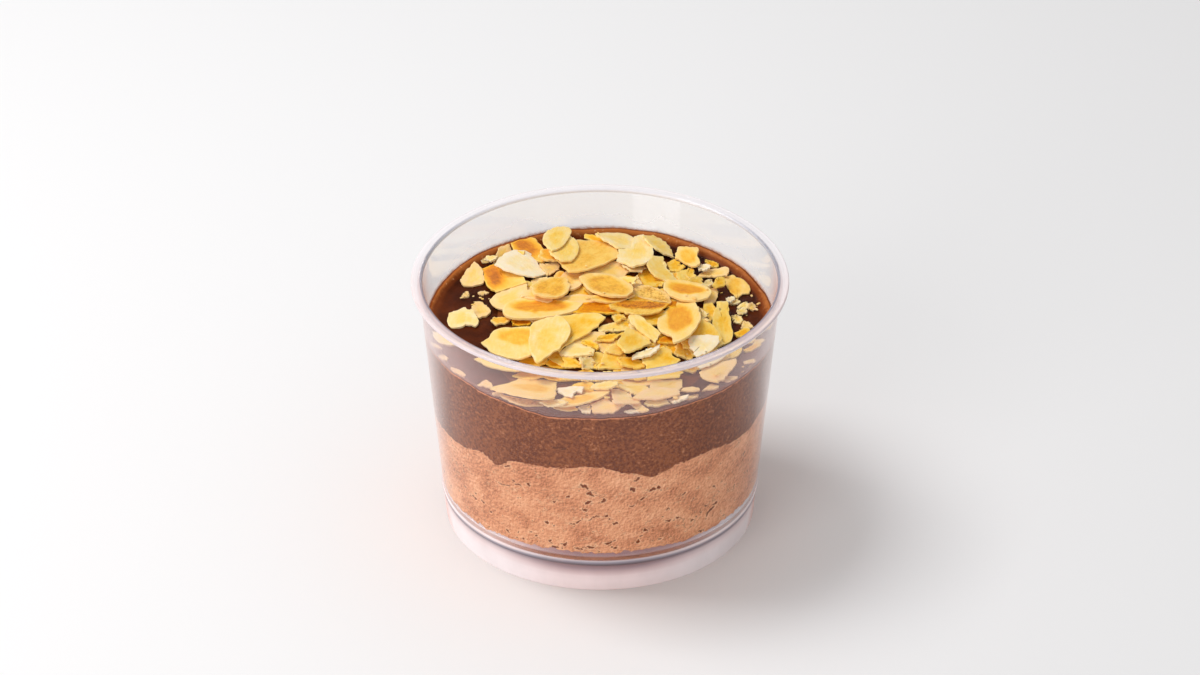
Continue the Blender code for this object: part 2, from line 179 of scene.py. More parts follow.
def mesh_object(name: str, points: Array, faces: list[list[int]]) -> Piece:
    """Object whose mesh has the given corners and faces.

    Args:
        name: Name of the object and its mesh.
        points: Corner places in millimetres.
        faces: Corners of each face.

    Returns:
        The new object, linked to the scene.
    """
    mesh = bpy.data.meshes.new(name)
    mesh.from_pydata((points * MM).tolist(), [], faces)
    piece = bpy.data.objects.new(name, mesh)
    bpy.context.scene.collection.objects.link(piece)
    return piece


def attach(piece: Piece, name: str, values: Array) -> None:
    """Give each corner of a mesh a number or a vector that its material reads.

    Args:
        piece: Object with the mesh.
        name: Name of the attribute.
        values: One number, or one row of three, for each corner.
    """
    single = values.ndim == 1
    layer = piece.data.attributes.new(name, "FLOAT" if single else "FLOAT_VECTOR", "POINT")
    layer.data.foreach_set("value" if single else "vector", values.astype(np.float32).ravel())


class Body:
    """Closed body built from rings, with values for its material on every point."""

    def __init__(self, sides: int) -> None:
        """Start an empty body whose rings have this many points."""
        self.sides = sides
        self.angle = np.arange(sides) * 360.0 / sides
        turn = np.radians(self.angle)
        self.around = np.stack([np.sin(turn), -np.cos(turn)], axis=1)
        self.rows: list[Array] = []
        self.values: list[Array] = []

    def ring(self, points: Array, values: Array) -> None:
        """Add a ring, with one place and one row of three values for each side."""
        self.rows.append(points)
        self.values.append(values)

    def round_ring(self, radius: Array, height: Array, values: Array) -> None:
        """Add a ring with a radius and a height for each angle."""
        self.ring(np.column_stack([self.around * radius[:, None], height]), values)

    def piece(self, name: str, attribute: str) -> Piece:
        """Close the body at the middle of its first and last ring, and make its mesh.

        Args:
            name: Name of the piece.
            attribute: Name under which the mesh carries the values.

        Returns:
            The smooth piece, its faces pointing outwards.
        """
        ends = np.array([self.rows[0].mean(axis=0), self.rows[-1].mean(axis=0)])
        end_values = np.array([self.values[0].mean(axis=0), self.values[-1].mean(axis=0)])
        points = np.concatenate([ends, *self.rows])
        faces = ring_faces(self.sides, len(self.rows))
        if signed_volume(points, faces) < 0:
            faces = [face[::-1] for face in faces]
        piece = mesh_object(name, points, faces)
        attach(piece, attribute, np.concatenate([end_values, *self.values]))
        piece.data.shade_smooth()
        return piece


def settle_piece(piece: Piece, materials: list[bpy.types.Material], slot: str,
                 *nodes: str) -> None:
    """Finish a piece: dress it, attach it to the body and hide the CAD nodes that it stands for.

    Args:
        piece: The finished mesh.
        materials: What covers it, in the order of its faces' numbers.
        slot: The record's material slot; not used.
        nodes: CAD nodes it stands for.
    """
    for material in materials:
        if material.name not in piece.data.materials:
            piece.data.materials.append(material)
    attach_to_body(piece, BODY)
    for node in nodes:
        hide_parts(node)
    LOG.info("%s: %d points, %d faces", piece.name, len(piece.data.vertices), len(piece.data.polygons))


# ---------------- node trees


class Sheet:
    """Adds nodes to one tree."""

    def __init__(self, tree: bpy.types.NodeTree) -> None:
        """Work on this tree."""
        self.tree = tree

    def add(self, kind: str, settings: dict[str, Any] | None = None,
            sockets: dict[str | int, Any] | None = None) -> bpy.types.Node:
        """Add a node.

        Args:
            kind: The node's type.
            settings: Its properties, set first. "stops" holds a ramp's places and colours.
            sockets: Values or links of its inputs, by name or number.

        Returns:
            The new node.
        """
        node = self.tree.nodes.new(kind)
        for name, value in (settings or {}).items():
            if name == "stops":
                self.set_stops(node.color_ramp, value)
            else:
                setattr(node, name, value)
        for name, value in (sockets or {}).items():
            self.feed(node.inputs[name], value)
        return node

    @staticmethod
    def set_stops(ramp: bpy.types.ColorRamp, stops: tuple) -> None:
        """Give a ramp its stops.

        Args:
            ramp: The ramp.
            stops: Pairs of a place from nought to one and a colour.
        """
        while len(ramp.elements) < len(stops):
            ramp.elements.new(1.0)
        for element, (place, colour) in zip(ramp.elements, stops):
            element.position = place
            element.color = colour

    def feed(self, socket: Socket, value: Any) -> None:
        """Link a socket, or set its value.

        Args:
            socket: The input.
            value: A signal, a socket or a plain value.
        """
        if isinstance(value, Signal):
            value = value.socket
        if isinstance(value, Socket):
            self.tree.links.new(value, socket)
        else:
            socket.default_value = value

    def attribute(self, name: str) -> Socket:
        """Vector that a mesh carries on its points."""
        return self.add("ShaderNodeAttribute", {"attribute_name": name}).outputs["Vector"]

    def parts(self, vector: Socket) -> tuple["Signal", "Signal", "Signal"]:
        """The three numbers of a vector."""
        node = self.add("ShaderNodeSeparateXYZ", {}, {"Vector": vector})
        return tuple(Signal(self, output) for output in node.outputs)

    def place(self, scale: tuple[float, float, float] = (1.0, 1.0, 1.0),
              shift: tuple[float, float, float] = (0.0, 0.0, 0.0)) -> Socket:
        """Object coordinates in millimetres, times a scale on each axis.

        Args:
            scale: Stretch of the pattern's coordinates.
            shift: How far from its own place the pattern is read.

        Returns:
            The vector's socket.
        """
        where = self.add("ShaderNodeTexCoord").outputs["Object"]
        stretch = tuple(value / MM for value in scale)
        values = {"Vector": where, "Scale": stretch, "Location": shift}
        return self.add("ShaderNodeMapping", {}, values).outputs["Vector"]

    def stretched(self, vector: Socket,
                  scale: tuple[float, float, float]) -> Socket:
        """A vector times a scale on each axis."""
        return self.add("ShaderNodeMapping", {}, {"Vector": vector, "Scale": scale}).outputs["Vector"]

    def noise(self, vector: Socket, scale: float, detail: float = 2.0,
              rough: float = 0.5) -> "Signal":
        """Cloudy pattern spread about a half, scale being its clouds for each unit of the vector."""
        values = {"Vector": vector, "Scale": scale, "Detail": detail, "Roughness": rough}
        return Signal(self, self.add("ShaderNodeTexNoise", {}, values).outputs["Fac"])

    def blend(self, share: Any, first: Any, second: Any, mode: str = "MIX") -> Socket:
        """Two colours mixed, the share being how much of the second there is."""
        sockets = {0: share, 6: first, 7: second}
        return self.add("ShaderNodeMix", {"data_type": "RGBA", "blend_type": mode}, sockets).outputs[2]

    def ramp(self, share: "Signal", *stops: tuple) -> Socket:
        """Colour read off a ramp."""
        return self.add("ShaderNodeValToRGB", {"stops": stops}, {"Fac": share}).outputs["Color"]

    def relief(self, height: "Signal", depth: float) -> Socket:
        """Normal of a surface that a pattern raises by up to a depth in millimetres."""
        values = {"Height": height, "Distance": depth * MM, "Strength": 1.0}
        return self.add("ShaderNodeBump", {}, values).outputs["Normal"]

    def principled(self, **values: Any) -> Socket:
        """Principled shader, its sockets named with _ for each space."""
        sockets = {name.replace("_", " "): value for name, value in values.items()}
        return self.add("ShaderNodeBsdfPrincipled", {}, sockets).outputs[0]

    def either(self, share: Any, first: Any, second: Any) -> Socket:
        """Two shaders mixed, the share being how much of the second there is."""
        return self.add("ShaderNodeMixShader", {}, {0: share, 1: first, 2: second}).outputs[0]

    def scaled(self, vector: Any, scale: Any) -> Socket:
        """A vector times a number."""
        sockets = {"Vector": vector, "Scale": scale}
        return self.add("ShaderNodeVectorMath", {"operation": "SCALE"}, sockets).outputs[0]

    def stored(self, shape: Any, name: str, value: Any, domain: str) -> Socket:
        """Shape that carries a vector under a name."""
        return self.add("GeometryNodeStoreNamedAttribute", {"data_type": "FLOAT_VECTOR", "domain": domain},
                        {"Geometry": shape, "Name": name, "Value": value}).outputs[0]

    def give_out(self, shape: Any, finish: Any) -> None:
        """Cover a shape with a material and make it the tree's result."""
        dressed = self.add("GeometryNodeSetMaterial", {}, {"Geometry": shape, "Material": finish})
        self.add("NodeGroupOutput", {}, {"Shape": dressed.outputs[0]})


class Signal:
    """A number that varies over a surface, so that sums of it read as plain maths."""

    def __init__(self, sheet: Sheet, socket: Socket) -> None:
        """Wrap a socket of a tree."""
        self.sheet = sheet
        self.socket = socket

    def math(self, operation: str, *terms: Any) -> "Signal":
        """Result of one Math node, the terms being its inputs in order."""
        node = self.sheet.add("ShaderNodeMath", {"operation": operation}, dict(enumerate(terms)))
        return Signal(self.sheet, node.outputs[0])

    def __add__(self, other: Any) -> "Signal":
        """Sum."""
        return self.math("ADD", self, other)

    __radd__ = __add__

    def __sub__(self, other: Any) -> "Signal":
        """Difference."""
        return self.math("SUBTRACT", self, other)

    def __rsub__(self, other: Any) -> "Signal":
        """Difference, the signal taken off."""
        return self.math("SUBTRACT", other, self)

    def __mul__(self, other: Any) -> "Signal":
        """Product."""
        return self.math("MULTIPLY", self, other)

    __rmul__ = __mul__

    def __truediv__(self, other: Any) -> "Signal":
        """Quotient."""
        return self.math("DIVIDE", self, other)

    def floor(self) -> "Signal":
        """Whole part."""
        return self.math("FLOOR", self)

    def from_middle(self) -> "Signal":
        """How far a pattern is from a half, which draws thin lines through it."""
        return self.math("ABSOLUTE", self - 0.5)

    def eased(self, low: float, high: float) -> "Signal":
        """Soft step from nought at low to one at high.

        Args:
            low: Where the step starts.
            high: Where the step ends.

        Returns:
            The step, between nought and one.
        """
        values = {"Value": self, "From Min": low, "From Max": high}
        node = self.sheet.add("ShaderNodeMapRange", {"interpolation_type": "SMOOTHSTEP"}, values)
        return Signal(self.sheet, node.outputs["Result"])


def new_tree(name: str, **inputs: str) -> tuple[bpy.types.NodeTree, Sheet, Any]:
    """Empty geometry nodes that give out one shape.

    Args:
        name: Name of the group.
        inputs: Name and kind of each input.

    Returns:
        The group, what adds its nodes, and the sockets of its inputs.
    """
    tree = bpy.data.node_groups.new(name, "GeometryNodeTree")
    for label, kind in inputs.items():
        tree.interface.new_socket(label, in_out="INPUT", socket_type="NodeSocket" + kind)
    tree.interface.new_socket("Shape", in_out="OUTPUT", socket_type="NodeSocketGeometry")
    sheet = Sheet(tree)
    return tree, sheet, sheet.add("NodeGroupInput").outputs


# ---------------- finishes


@dataclass(frozen=True)
class Finish:
    """What covers a piece."""

    name: str

    def material(self) -> bpy.types.Material:
        """Build the material.

        Returns:
            A material whose surface is this finish.
        """
        material = bpy.data.materials.new(self.name)
        material.use_nodes = True
        material.node_tree.nodes.clear()
        sheet = Sheet(material.node_tree)
        sheet.add("ShaderNodeOutputMaterial", {}, {"Surface": self.surface(sheet)})
        return material

    def surface(self, sheet: Sheet) -> Socket:
        """Shader of the finish, written by each kind.

        Args:
            sheet: Where the nodes go.

        Returns:
            The shader's socket.
        """
        raise NotImplementedError


@dataclass(frozen=True)
class ClearPlastic(Finish):
    """Rigid clear plastic, milky on its dry inner side, its rim, its bead and its foot; on the rim, the
    bead, the skirt and the floor's corner the milkiness's lightness is painted light and shade, and its pink
    is a painted cast of light from the chocolate.
    """

    tint: tuple = srgb(255, 254, 255)
    # line, steel and white make the ramp of painted light on the milky layer: line is painted shadow, white
    # is painted highlight.
    line: tuple = srgb(84, 72, 78)
    steel: tuple = srgb(158, 164, 180)
    white: tuple = srgb(251, 251, 255)
    # pink is a painted cast of the light that the chocolate sends into the plastic.
    pink: tuple = srgb(255, 190, 176)
    smear: tuple = srgb(178, 112, 66)
    bend: float = 1.46
    gloss: float = 0.03
    film_height: float = 56.7
    film_slope: float = 0.023

    def surface(self, sheet: Sheet) -> Socket:
        """Glass for the eye, open to the rays that carry light to what is behind it."""
        glass = sheet.principled(
            Base_Color=self.tint, Roughness=self.gloss, IOR=self.bend, Transmission_Weight=1.0,
            Specular_IOR_Level=0.12)
        milky, shade, blush = sheet.parts(sheet.attribute("bloom_and_painted_light"))
        # Where the wall is seen edge-on, more pink milkiness is painted in: a painted sheen along the cup's
        # edges.
        facing = sheet.add("ShaderNodeLayerWeight", {}, {"Blend": 0.5}).outputs["Facing"]
        painted_edge_sheen = Signal(sheet, facing).eased(0.72, 1.0)
        # Lightness of the milky layer: painted shade and shadow lines up to painted highlights, then the
        # painted pink cast over it.
        colour = sheet.ramp(shade, (0.0, self.line), (0.5, self.steel), (1.0, self.white))
        colour = sheet.blend(blush.math("MAXIMUM", blush, painted_edge_sheen), colour, self.pink, "MULTIPLY")
        cloud = sheet.noise(sheet.place((1.0, 1.0, 0.6)), 0.12, 3.0)
        grain = sheet.noise(sheet.place(), 0.7, 3.0)
        _, back, height = sheet.parts(sheet.place())
        edge = back * self.film_slope + self.film_height + (grain - 0.5) * 1.6
        smeared = (edge - height).eased(-0.2, 1.1) * (height - self.film_height).eased(-3.0, -1.0)
        smeared = smeared * back.eased(-12.0, 10.0)
        colour = sheet.blend(smeared, colour, self.smear)
        bloom_and_painted_light = sheet.principled(Base_Color=colour, Roughness=0.22, Specular_IOR_Level=0.5)
        share = milky * (cloud * 0.4 + 0.8) + painted_edge_sheen * 0.25 + smeared * 0.5
        fogged = sheet.either(share, glass, bloom_and_painted_light)
        opened = sheet.add("ShaderNodeBsdfTransparent", {}, {"Color": self.tint}).outputs[0]
        rays = sheet.add("ShaderNodeLightPath").outputs
        soft = sheet.either(rays["Is Diffuse Ray"], fogged, opened)
        return sheet.either(rays["Is Shadow Ray"], soft, opened)


@dataclass(frozen=True)
class MousseFinish(Finish):
    """Matt aerated mousse: fine foam with painted light and shade on its relief, painted highlights by its
    hair cracks and pits, and painted shade in them.
    """

    deep: tuple = srgb(168, 100, 64)
    body: tuple = srgb(222, 149, 106)
    pale: tuple = srgb(248, 188, 144)
    # pit is painted shade in pockets and cracks; lit is a painted highlight on their edges.
    pit: tuple = srgb(132, 64, 28)
    lit: tuple = srgb(252, 204, 160)
    # How far apart the foam is read, to paint light from above on its relief and beside the hair cracks.
    light_step: float = 0.12
    vein_step: float = 0.2

    def surface(self, sheet: Sheet) -> Socket:
        """Foam whose pits and hair cracks are painted dark as shade, with a painted highlight on the edge
        where light would catch them.
        """
        hollow, _, _ = sheet.parts(sheet.attribute("foam"))
        below, above = (sheet.noise(sheet.place(shift=(-lift, 0.0, lift)), 1.25, 3.0, 0.6)
                        for lift in (-self.light_step, self.light_step))
        cloud = sheet.noise(sheet.place((1.0, 1.0, 1.4)), 0.12, 5.0, 0.6)
        vein, above_vein = (sheet.noise(sheet.place((0.6, 0.6, 1.0), (0.0, 0.0, lift)), 0.36, 4.0, 0.6)
                            for lift in (0.0, self.vein_step))
        patch = sheet.noise(sheet.place((1.0, 1.0, 1.3)), 0.22, 3.0)
        # Two reads of the foam a step apart paint the light and shade of its relief; the clouds are its own
        # tone.
        tone = (below - above) * 1.7 + (cloud - 0.5) * 1.5 + 0.5
        colour = sheet.ramp(tone, (0.0, self.deep), (0.5, self.body), (1.0, self.pale))
        # Painted highlight beside each hair crack, then painted shade in the crack.
        painted_crack_glint = above_vein.from_middle().eased(0.03, 0.0) * patch.eased(0.44, 0.6)
        colour = sheet.blend(painted_crack_glint * 0.5, colour, self.lit)
        painted_crack_shade = vein.from_middle().eased(0.018, 0.003) * patch.eased(0.54, 0.66)
        colour = sheet.blend(painted_crack_shade * 0.8, colour, self.pit)
        # Painted highlight round the edge of each pocket, then painted shade inside it.
        colour = sheet.blend(hollow.eased(0.004, 0.03) * 0.5, colour, self.lit)
        colour = sheet.blend(hollow.eased(0.05, 0.14), colour, self.pit)
        return sheet.principled(
            Base_Color=colour, Roughness=0.7, Subsurface_Weight=0.08,
            Subsurface_Radius=(1.0, 0.55, 0.35), Subsurface_Scale=0.0006, Specular_IOR_Level=0.05,
            Normal=sheet.relief(above, 0.2))


@dataclass(frozen=True)
class PressedCreamFinish(Finish):
    """Chocolate cream where the plastic presses it: smooth, matt and paler."""

    deep: tuple = srgb(104, 46, 16)
    body: tuple = srgb(148, 82, 42)
    # pit is painted shade in the air pockets.
    pit: tuple = srgb(70, 30, 16)
    speck: tuple = srgb(206, 140, 96)
    line: tuple = srgb(236, 152, 108)

    def surface(self, sheet: Sheet) -> Socket:
        """Fine grain, soft clouds, pale specks, a pale line along the top, and painted shade in its air
        pockets.
        """
        line, _, hollow = sheet.parts(sheet.attribute("cream"))
        cloud = sheet.noise(sheet.place((1.0, 1.0, 0.4)), 0.1, 2.0)
        grain = sheet.noise(sheet.place(), 1.25, 2.0, 0.7)
        patch = sheet.noise(sheet.place((1.0, 1.0, 0.8)), 0.22, 2.0)
        tone = ((cloud - 0.5) * 0.8 + (grain - 0.5) * 2.8 + 0.5).eased(0.0, 1.0)
        colour = sheet.blend(tone, self.deep, self.body)
        colour = sheet.blend(grain.eased(0.6, 0.7) * patch.eased(0.42, 0.6) * 0.6, colour, self.speck)
        colour = sheet.blend((line + (grain - 0.5) * 1.6).eased(0.35, 0.95) * 0.7, colour, self.line)
        # Air pockets painted dark: painted shade.
        colour = sheet.blend(hollow.eased(0.04, 0.2), colour, self.pit)
        return sheet.principled(
            Base_Color=colour, Roughness=grain * 0.2 + 0.6, Specular_IOR_Level=0.02,
            Normal=sheet.relief(grain, 0.05))


@dataclass(frozen=True)
class OpenCreamFinish(Finish):
    """Dark top of the chocolate cream, and the thin film that it leaves up the wall."""

    deep: tuple = srgb(46, 14, 2)
    body: tuple = srgb(86, 34, 8)
    film: tuple = srgb(122, 56, 16)
    film_edge: tuple = srgb(176, 102, 46)
    bubble: tuple = srgb(222, 170, 128)

    def surface(self, sheet: Sheet) -> Socket:
        """Soft sheen over a dark body."""
        _, film, _ = sheet.parts(sheet.attribute("cream"))
        cloud = sheet.noise(sheet.place(), 0.14, 3.0, 0.6)
        grain = sheet.noise(sheet.place(), 2.4, 2.0, 0.6)
        tone = ((cloud - 0.5) * 1.6 + (grain - 0.5) * 0.8 + 0.5).eased(0.0, 1.0)
        colour = sheet.blend(tone, self.deep, self.body)
        foam = sheet.noise(sheet.place(), 1.1, 3.0, 0.7)
        thin = film + (foam - 0.5) * 0.9 * film + (cloud - 0.5) * 0.4
        colour = sheet.blend(thin.eased(0.05, 0.5), colour, self.film)
        colour = sheet.blend(thin.eased(0.55, 1.15), colour, self.film_edge)
        colour = sheet.blend(foam.eased(0.62, 0.7) * film.eased(0.3, 0.8) * 0.7, colour, self.bubble)
        return sheet.principled(
            Base_Color=colour, Roughness=grain * 0.16 + 0.3, Subsurface_Weight=0.06,
            Subsurface_Radius=(1.0, 0.45, 0.25), Subsurface_Scale=0.001, Specular_IOR_Level=0.06,
            Normal=sheet.relief(cloud * 0.8 + grain * 0.25, 0.14))


@dataclass(frozen=True)
class AlmondFinish(Finish):
    """Toasted almond: ivory to brown by how far each part of a flake has browned."""

    ivory: tuple = srgb(250, 232, 200)
    cream: tuple = srgb(251, 221, 152)
    butter: tuple = srgb(251, 207, 100)
    gold: tuple = srgb(247, 184, 44)
    orange: tuple = srgb(232, 148, 16)
    amber: tuple = srgb(200, 112, 22)
    brown: tuple = srgb(150, 84, 30)
    blush: tuple = srgb(250, 198, 134)

    def surface(self, sheet: Sheet) -> Socket:
        """Almond flesh with its fine grain along each flake."""
        tint, browned, blush = sheet.parts(sheet.attribute("toast"))
        grain = sheet.attribute("grain")
        cloud = sheet.noise(grain, 0.32, 2.0)
        stroke = sheet.noise(sheet.stretched(grain, (0.3, 1.3, 1.0)), 1.0, 3.0, 0.6)
        speck = sheet.noise(grain, 1.5, 3.0, 0.65)
        level = tint + (cloud - 0.5) * 0.34 + (stroke - 0.5) * 0.24 + (speck - 0.5) * 0.16
        colour = sheet.ramp(level, (0.0, self.ivory), (0.22, self.cream), (0.42, self.butter),
                            (0.6, self.gold), (0.78, self.orange), (0.9, self.amber), (1.0, self.brown))
        colour = sheet.blend(blush, colour, self.blush)
        toasted = (speck * 0.6 + cloud * 0.4).eased(0.46, 0.62) * browned
        colour = sheet.blend(toasted, colour, self.brown)
        return sheet.principled(
            Base_Color=colour, Roughness=speck * 0.25 + 0.42, Subsurface_Weight=0.15,
            Subsurface_Radius=(1.0, 0.6, 0.3), Subsurface_Scale=0.001, Specular_IOR_Level=0.1,
            Normal=sheet.relief(stroke * 0.5 + speck * 0.35 + cloud * 0.6, 0.2))


@dataclass(frozen=True)
class FloorFinish(Finish):
    """Plain pale floor."""

    shade: tuple = srgb(240, 240, 241)

    def surface(self, sheet: Sheet) -> Socket:
        """Matt paint."""
        tooth = sheet.noise(sheet.place(), 0.8, 2.0)
        return sheet.principled(Base_Color=self.shade, Roughness=tooth * 0.1 + 0.6)


# ---------------- cup


@dataclass
class CupShell:
    """Clear tapered cup with a flanged rim, a raised floor and a hollow foot."""

    height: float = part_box("cup")[1].z / MM
    rim_radius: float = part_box("cup")[1].x / MM
    foot_radius: float = 39.63
    flare: float = 0.0888
    wall: float = 1.0
    rim_thickness: float = 0.95
    rim_rounding: float = 0.4
    rim_bend: float = 0.6
    floor_top: float = 9.5
    floor_thickness: float = 1.5
    floor_corner: float = 2.8
    skirt_wall: float = 1.2
    skirt_corner: float = 0.7
    foot_rounding: float = 0.4
    foot_chamfer: float = 0.15
    bead_middle: float = 8.8
    bead_height: float = 1.8
    bead_depth: float = 0.25
    bloom_from: float = 9.85
    band_top: float = 11.6
    segments: int = 288

    def outer(self, height: Any) -> Any:
        """Outer radius of the wall at a height."""
        return self.foot_radius + self.flare * height

    def inner(self, height: Any) -> Any:
        """Inner radius at a height, with the rounded corner over the floor.

        Args:
            height: Heights over the ground, a number or an array.

        Returns:
            The radius at each height.
        """
        corner_top = self.floor_top + self.floor_corner
        centre = self.outer(corner_top) - self.wall - self.floor_corner
        below = np.clip(corner_top - height, 0.0, self.floor_corner)
        rounded = centre + np.sqrt(self.floor_corner ** 2 - below ** 2)
        return np.where(below > 0, rounded, self.outer(height) - self.wall)

    @staticmethod
    def arc(centre: tuple[float, float], radius: float, start: float, end: float,
            steps: int = 8) -> list[tuple[float, float]]:
        """Distances from the axis and heights along an arc between two angles in degrees."""
        turns = [math.radians(start + (end - start) * step / steps) for step in range(steps + 1)]
        return [(centre[0] + radius * math.cos(turn), centre[1] + radius * math.sin(turn)) for turn in turns]

    def along_wall(self, *heights: float, inset: float = 0.0) -> list[tuple[float, float]]:
        """Distances from the axis and heights of points on the wall."""
        return [(float(self.outer(height)) - inset, height) for height in heights]

    def section(self) -> list[tuple[float, float]]:
        """Section of the cup, from under the middle of its floor round to the floor's top.

        Returns:
            Distances from the axis and heights.
        """
        underside = self.floor_top - self.floor_thickness
        skirt_top = self.outer(underside) - self.skirt_wall
        rim_under = self.height - self.rim_thickness
        rim_wall = self.outer(rim_under)
        edge = self.rim_radius - self.rim_rounding
        corner_top = self.floor_top + self.floor_corner
        corner = (float(self.outer(corner_top)) - self.wall - self.floor_corner, corner_top)
        skirt = (skirt_top - self.skirt_corner, underside - self.skirt_corner)
        section = [(0.0, underside), (0.6 * skirt_top, underside)]
        section += self.arc(skirt, self.skirt_corner, 90, 0)
        inner_foot = self.foot_radius - self.skirt_wall
        section += [(inner_foot, self.foot_chamfer), (inner_foot + self.foot_chamfer, 0.0)]
        section += self.arc((self.foot_radius - self.foot_rounding, self.foot_rounding),
                            self.foot_rounding, -90, 0)
        section += self.along_wall(1.5, 3.0, 4.5, 6.0, 7.2)
        section += self.bead()
        section += self.along_wall(self.bloom_from, 10.9, self.band_top, rim_under - 0.6)
        section += self.arc((rim_wall + 0.5, rim_under - 0.5), 0.5, 180, 90, 5)
        section += self.arc((edge, rim_under + self.rim_rounding), self.rim_rounding, -90, 0)
        section += self.arc((edge, self.height - self.rim_rounding), self.rim_rounding, 0, 90)
        section += [(edge - inset, self.height) for inset in (0.15, 0.5, 0.8, 1.1, 1.4, 1.65)]
        bend_from = self.height - self.rim_bend
        section += self.arc((rim_wall - self.wall + self.rim_bend, bend_from), self.rim_bend, 90, 180)
        section += self.along_wall(bend_from - 0.25, bend_from - 0.5, inset=self.wall)
        section += self.arc(corner, self.floor_corner, 0, -90)
        section += [(0.6 * corner[0], self.floor_top), (0.0, self.floor_top)]
        return section

    def bead(self) -> list[tuple[float, float]]:
        """Rounded bead moulded on the wall outside the floor's edge.

        Returns:
            Distances from the axis and heights.
        """
        points = []
        for step in range(13):
            lean = step / 6 - 1
            height = self.bead_middle + lean * self.bead_height / 2
            proud = self.bead_depth * math.sqrt(1 - abs(lean) ** 3)
            points.append((float(self.outer(height)) + proud, height))
        return points

    def bloom_and_painted_light(self, points: Array) -> Array:
        """How milky the plastic is, how light its milky layer is, which is painted light and shade, and how
        pink, which is a painted cast of light from the chocolate.

        Args:
            points: Places on the cup.

        Returns:
            The three shares at each place.
        """
        radius, height = np.hypot(points[:, 0], points[:, 1]), points[:, 2]
        turn = np.degrees(np.arctan2(points[:, 0], -points[:, 1]))
        angle = np.abs(turn)
        front, side, aside = 1 - eased(angle, 80, 110), eased(angle, 25, 65), eased(angle, 8, 45)
        left, right = eased(-turn, 8, 45), eased(turn, 15, 55)
        outside = radius > self.outer(height) - self.wall / 2
        lean = (height - self.bead_middle) / (self.bead_height / 2)
        regions = [
            height > self.height - self.rim_bend - 0.1,
            outside & (np.abs(lean) <= 1.0),
            outside & (height < self.bead_middle),
            outside & (height > self.bead_middle) & (height < self.band_top - 0.1),
            ~outside & (height > self.floor_top - 0.1) & (height < self.floor_top + self.floor_corner),
            ~outside & (height > self.floor_top - 0.1)]
        across = (44.5, 44.9, 45.25, 45.6, 46.3, 46.8)
        milky = np.select(regions, [
            np.interp(radius, across, (0.7, 0.85, 0.75, 0.6, 0.55, 0.7)), 0.92, 0.95, 0.1 + 0.3 * aside, 0.8,
            0.2 - front * (0.12 - 0.18 * side)], 0.0)
        # Across the rim: painted highlight bands and a painted dark line by its inner edge, fading to white
        # towards the back.
        painted_rim_bands = np.interp(radius, across, (0.6, 0.35, 0.5, 0.85, 0.85, 1.0))
        fade = np.where(radius < 45.4, eased(angle, 95, 150), eased(angle, 45, 85))
        rim_painted_light = 1 - (1 - painted_rim_bands) * (1 - 0.8 * fade)
        # The bead: a painted highlight on its top and a painted shadow under it.
        leans = (-1, -0.5, 0, 0.4, 0.7, 1)
        bead_painted_light = between(aside, np.interp(lean, leans, (0.02, 0.08, 0.35, 0.55, 0.7, 0.7)),
                             np.interp(lean, leans, (0.1, 0.3, 0.6, 1.0, 1.0, 0.9)))
        # The skirt: a painted shadow under the bead that fades downwards and is shorter at the sides, with a
        # pinker painted cast higher up.
        skirt_painted_shadow = between(
            aside, np.interp(height, (4.2, 5.1, 6.0, 6.9, 7.9), (1.0, 0.85, 0.7, 0.52, 0.35)),
            np.interp(height, (4.5, 6.0, 7.2, 7.9), (1.0, 0.97, 0.8, 0.5)))
        skirt_painted_pink = np.interp(height, (4.2, 7.9), (0.35, 0.9)) * (1 - 0.5 * aside)
        # The band and the floor's corner: painted shade in front, painted light towards the left and the
        # right.
        corner_painted_light = 0.56 + 0.44 * left + 0.36 * right
        corner_painted_pink = 0.9 - 0.6 * left - 0.8 * right
        shades = [rim_painted_light, bead_painted_light, skirt_painted_shadow, corner_painted_light, corner_painted_light, 1.0]
        shade = np.select(regions, shades, 1.0)
        blushes = [0.1 + 0.2 * front, 0.3, skirt_painted_pink, corner_painted_pink, corner_painted_pink, front]
        blush = np.select(regions, blushes, 0.0)
        return np.column_stack([milky, shade, blush])

    def lathe_tree(self) -> bpy.types.NodeTree:
        """Geometry nodes that turn a section round the Z axis.

        Returns:
            The node group, with inputs for the section, the segments and the material.
        """
        tree, sheet, given = new_tree("lathe", Section="Geometry", Segments="Int", Finish="Material")
        columns = Signal(sheet, given["Segments"]) + 1
        size = sheet.add("GeometryNodeAttributeDomainSize", {"component": "MESH"},
                         {"Geometry": given["Section"]})
        grid = sheet.add("GeometryNodeMeshGrid", {}, {
            "Vertices X": size.outputs["Point Count"], "Vertices Y": columns})
        index = Signal(sheet, sheet.add("GeometryNodeInputIndex").outputs[0])
        station = (index / columns + 0.0001).floor()
        turn = (index - station * columns) * (math.tau / self.segments)
        where = sheet.add("GeometryNodeInputPosition").outputs[0]
        picked = sheet.add("GeometryNodeSampleIndex", {"data_type": "FLOAT_VECTOR", "domain": "POINT"}, {
            "Geometry": given["Section"], "Value": where, "Index": station})
        radius, _, height = sheet.parts(picked.outputs["Value"])
        turned = sheet.add("ShaderNodeCombineXYZ", {}, {
            "X": radius * turn.math("COSINE", turn), "Y": radius * turn.math("SINE", turn), "Z": height})
        moved = sheet.add("GeometryNodeSetPosition", {}, {
            "Geometry": grid.outputs["Mesh"], "Position": turned.outputs[0]})
        closed = sheet.add("GeometryNodeMergeByDistance", {}, {
            "Geometry": moved.outputs[0], "Distance": 0.002 * MM})
        smooth = sheet.add("GeometryNodeSetShadeSmooth", {}, {"Geometry": closed.outputs[0]})
        real = sheet.add("GeometryNodeRealizeInstances", {}, {"Geometry": smooth.outputs[0]})
        sheet.give_out(real.outputs[0], given["Finish"])
        return tree

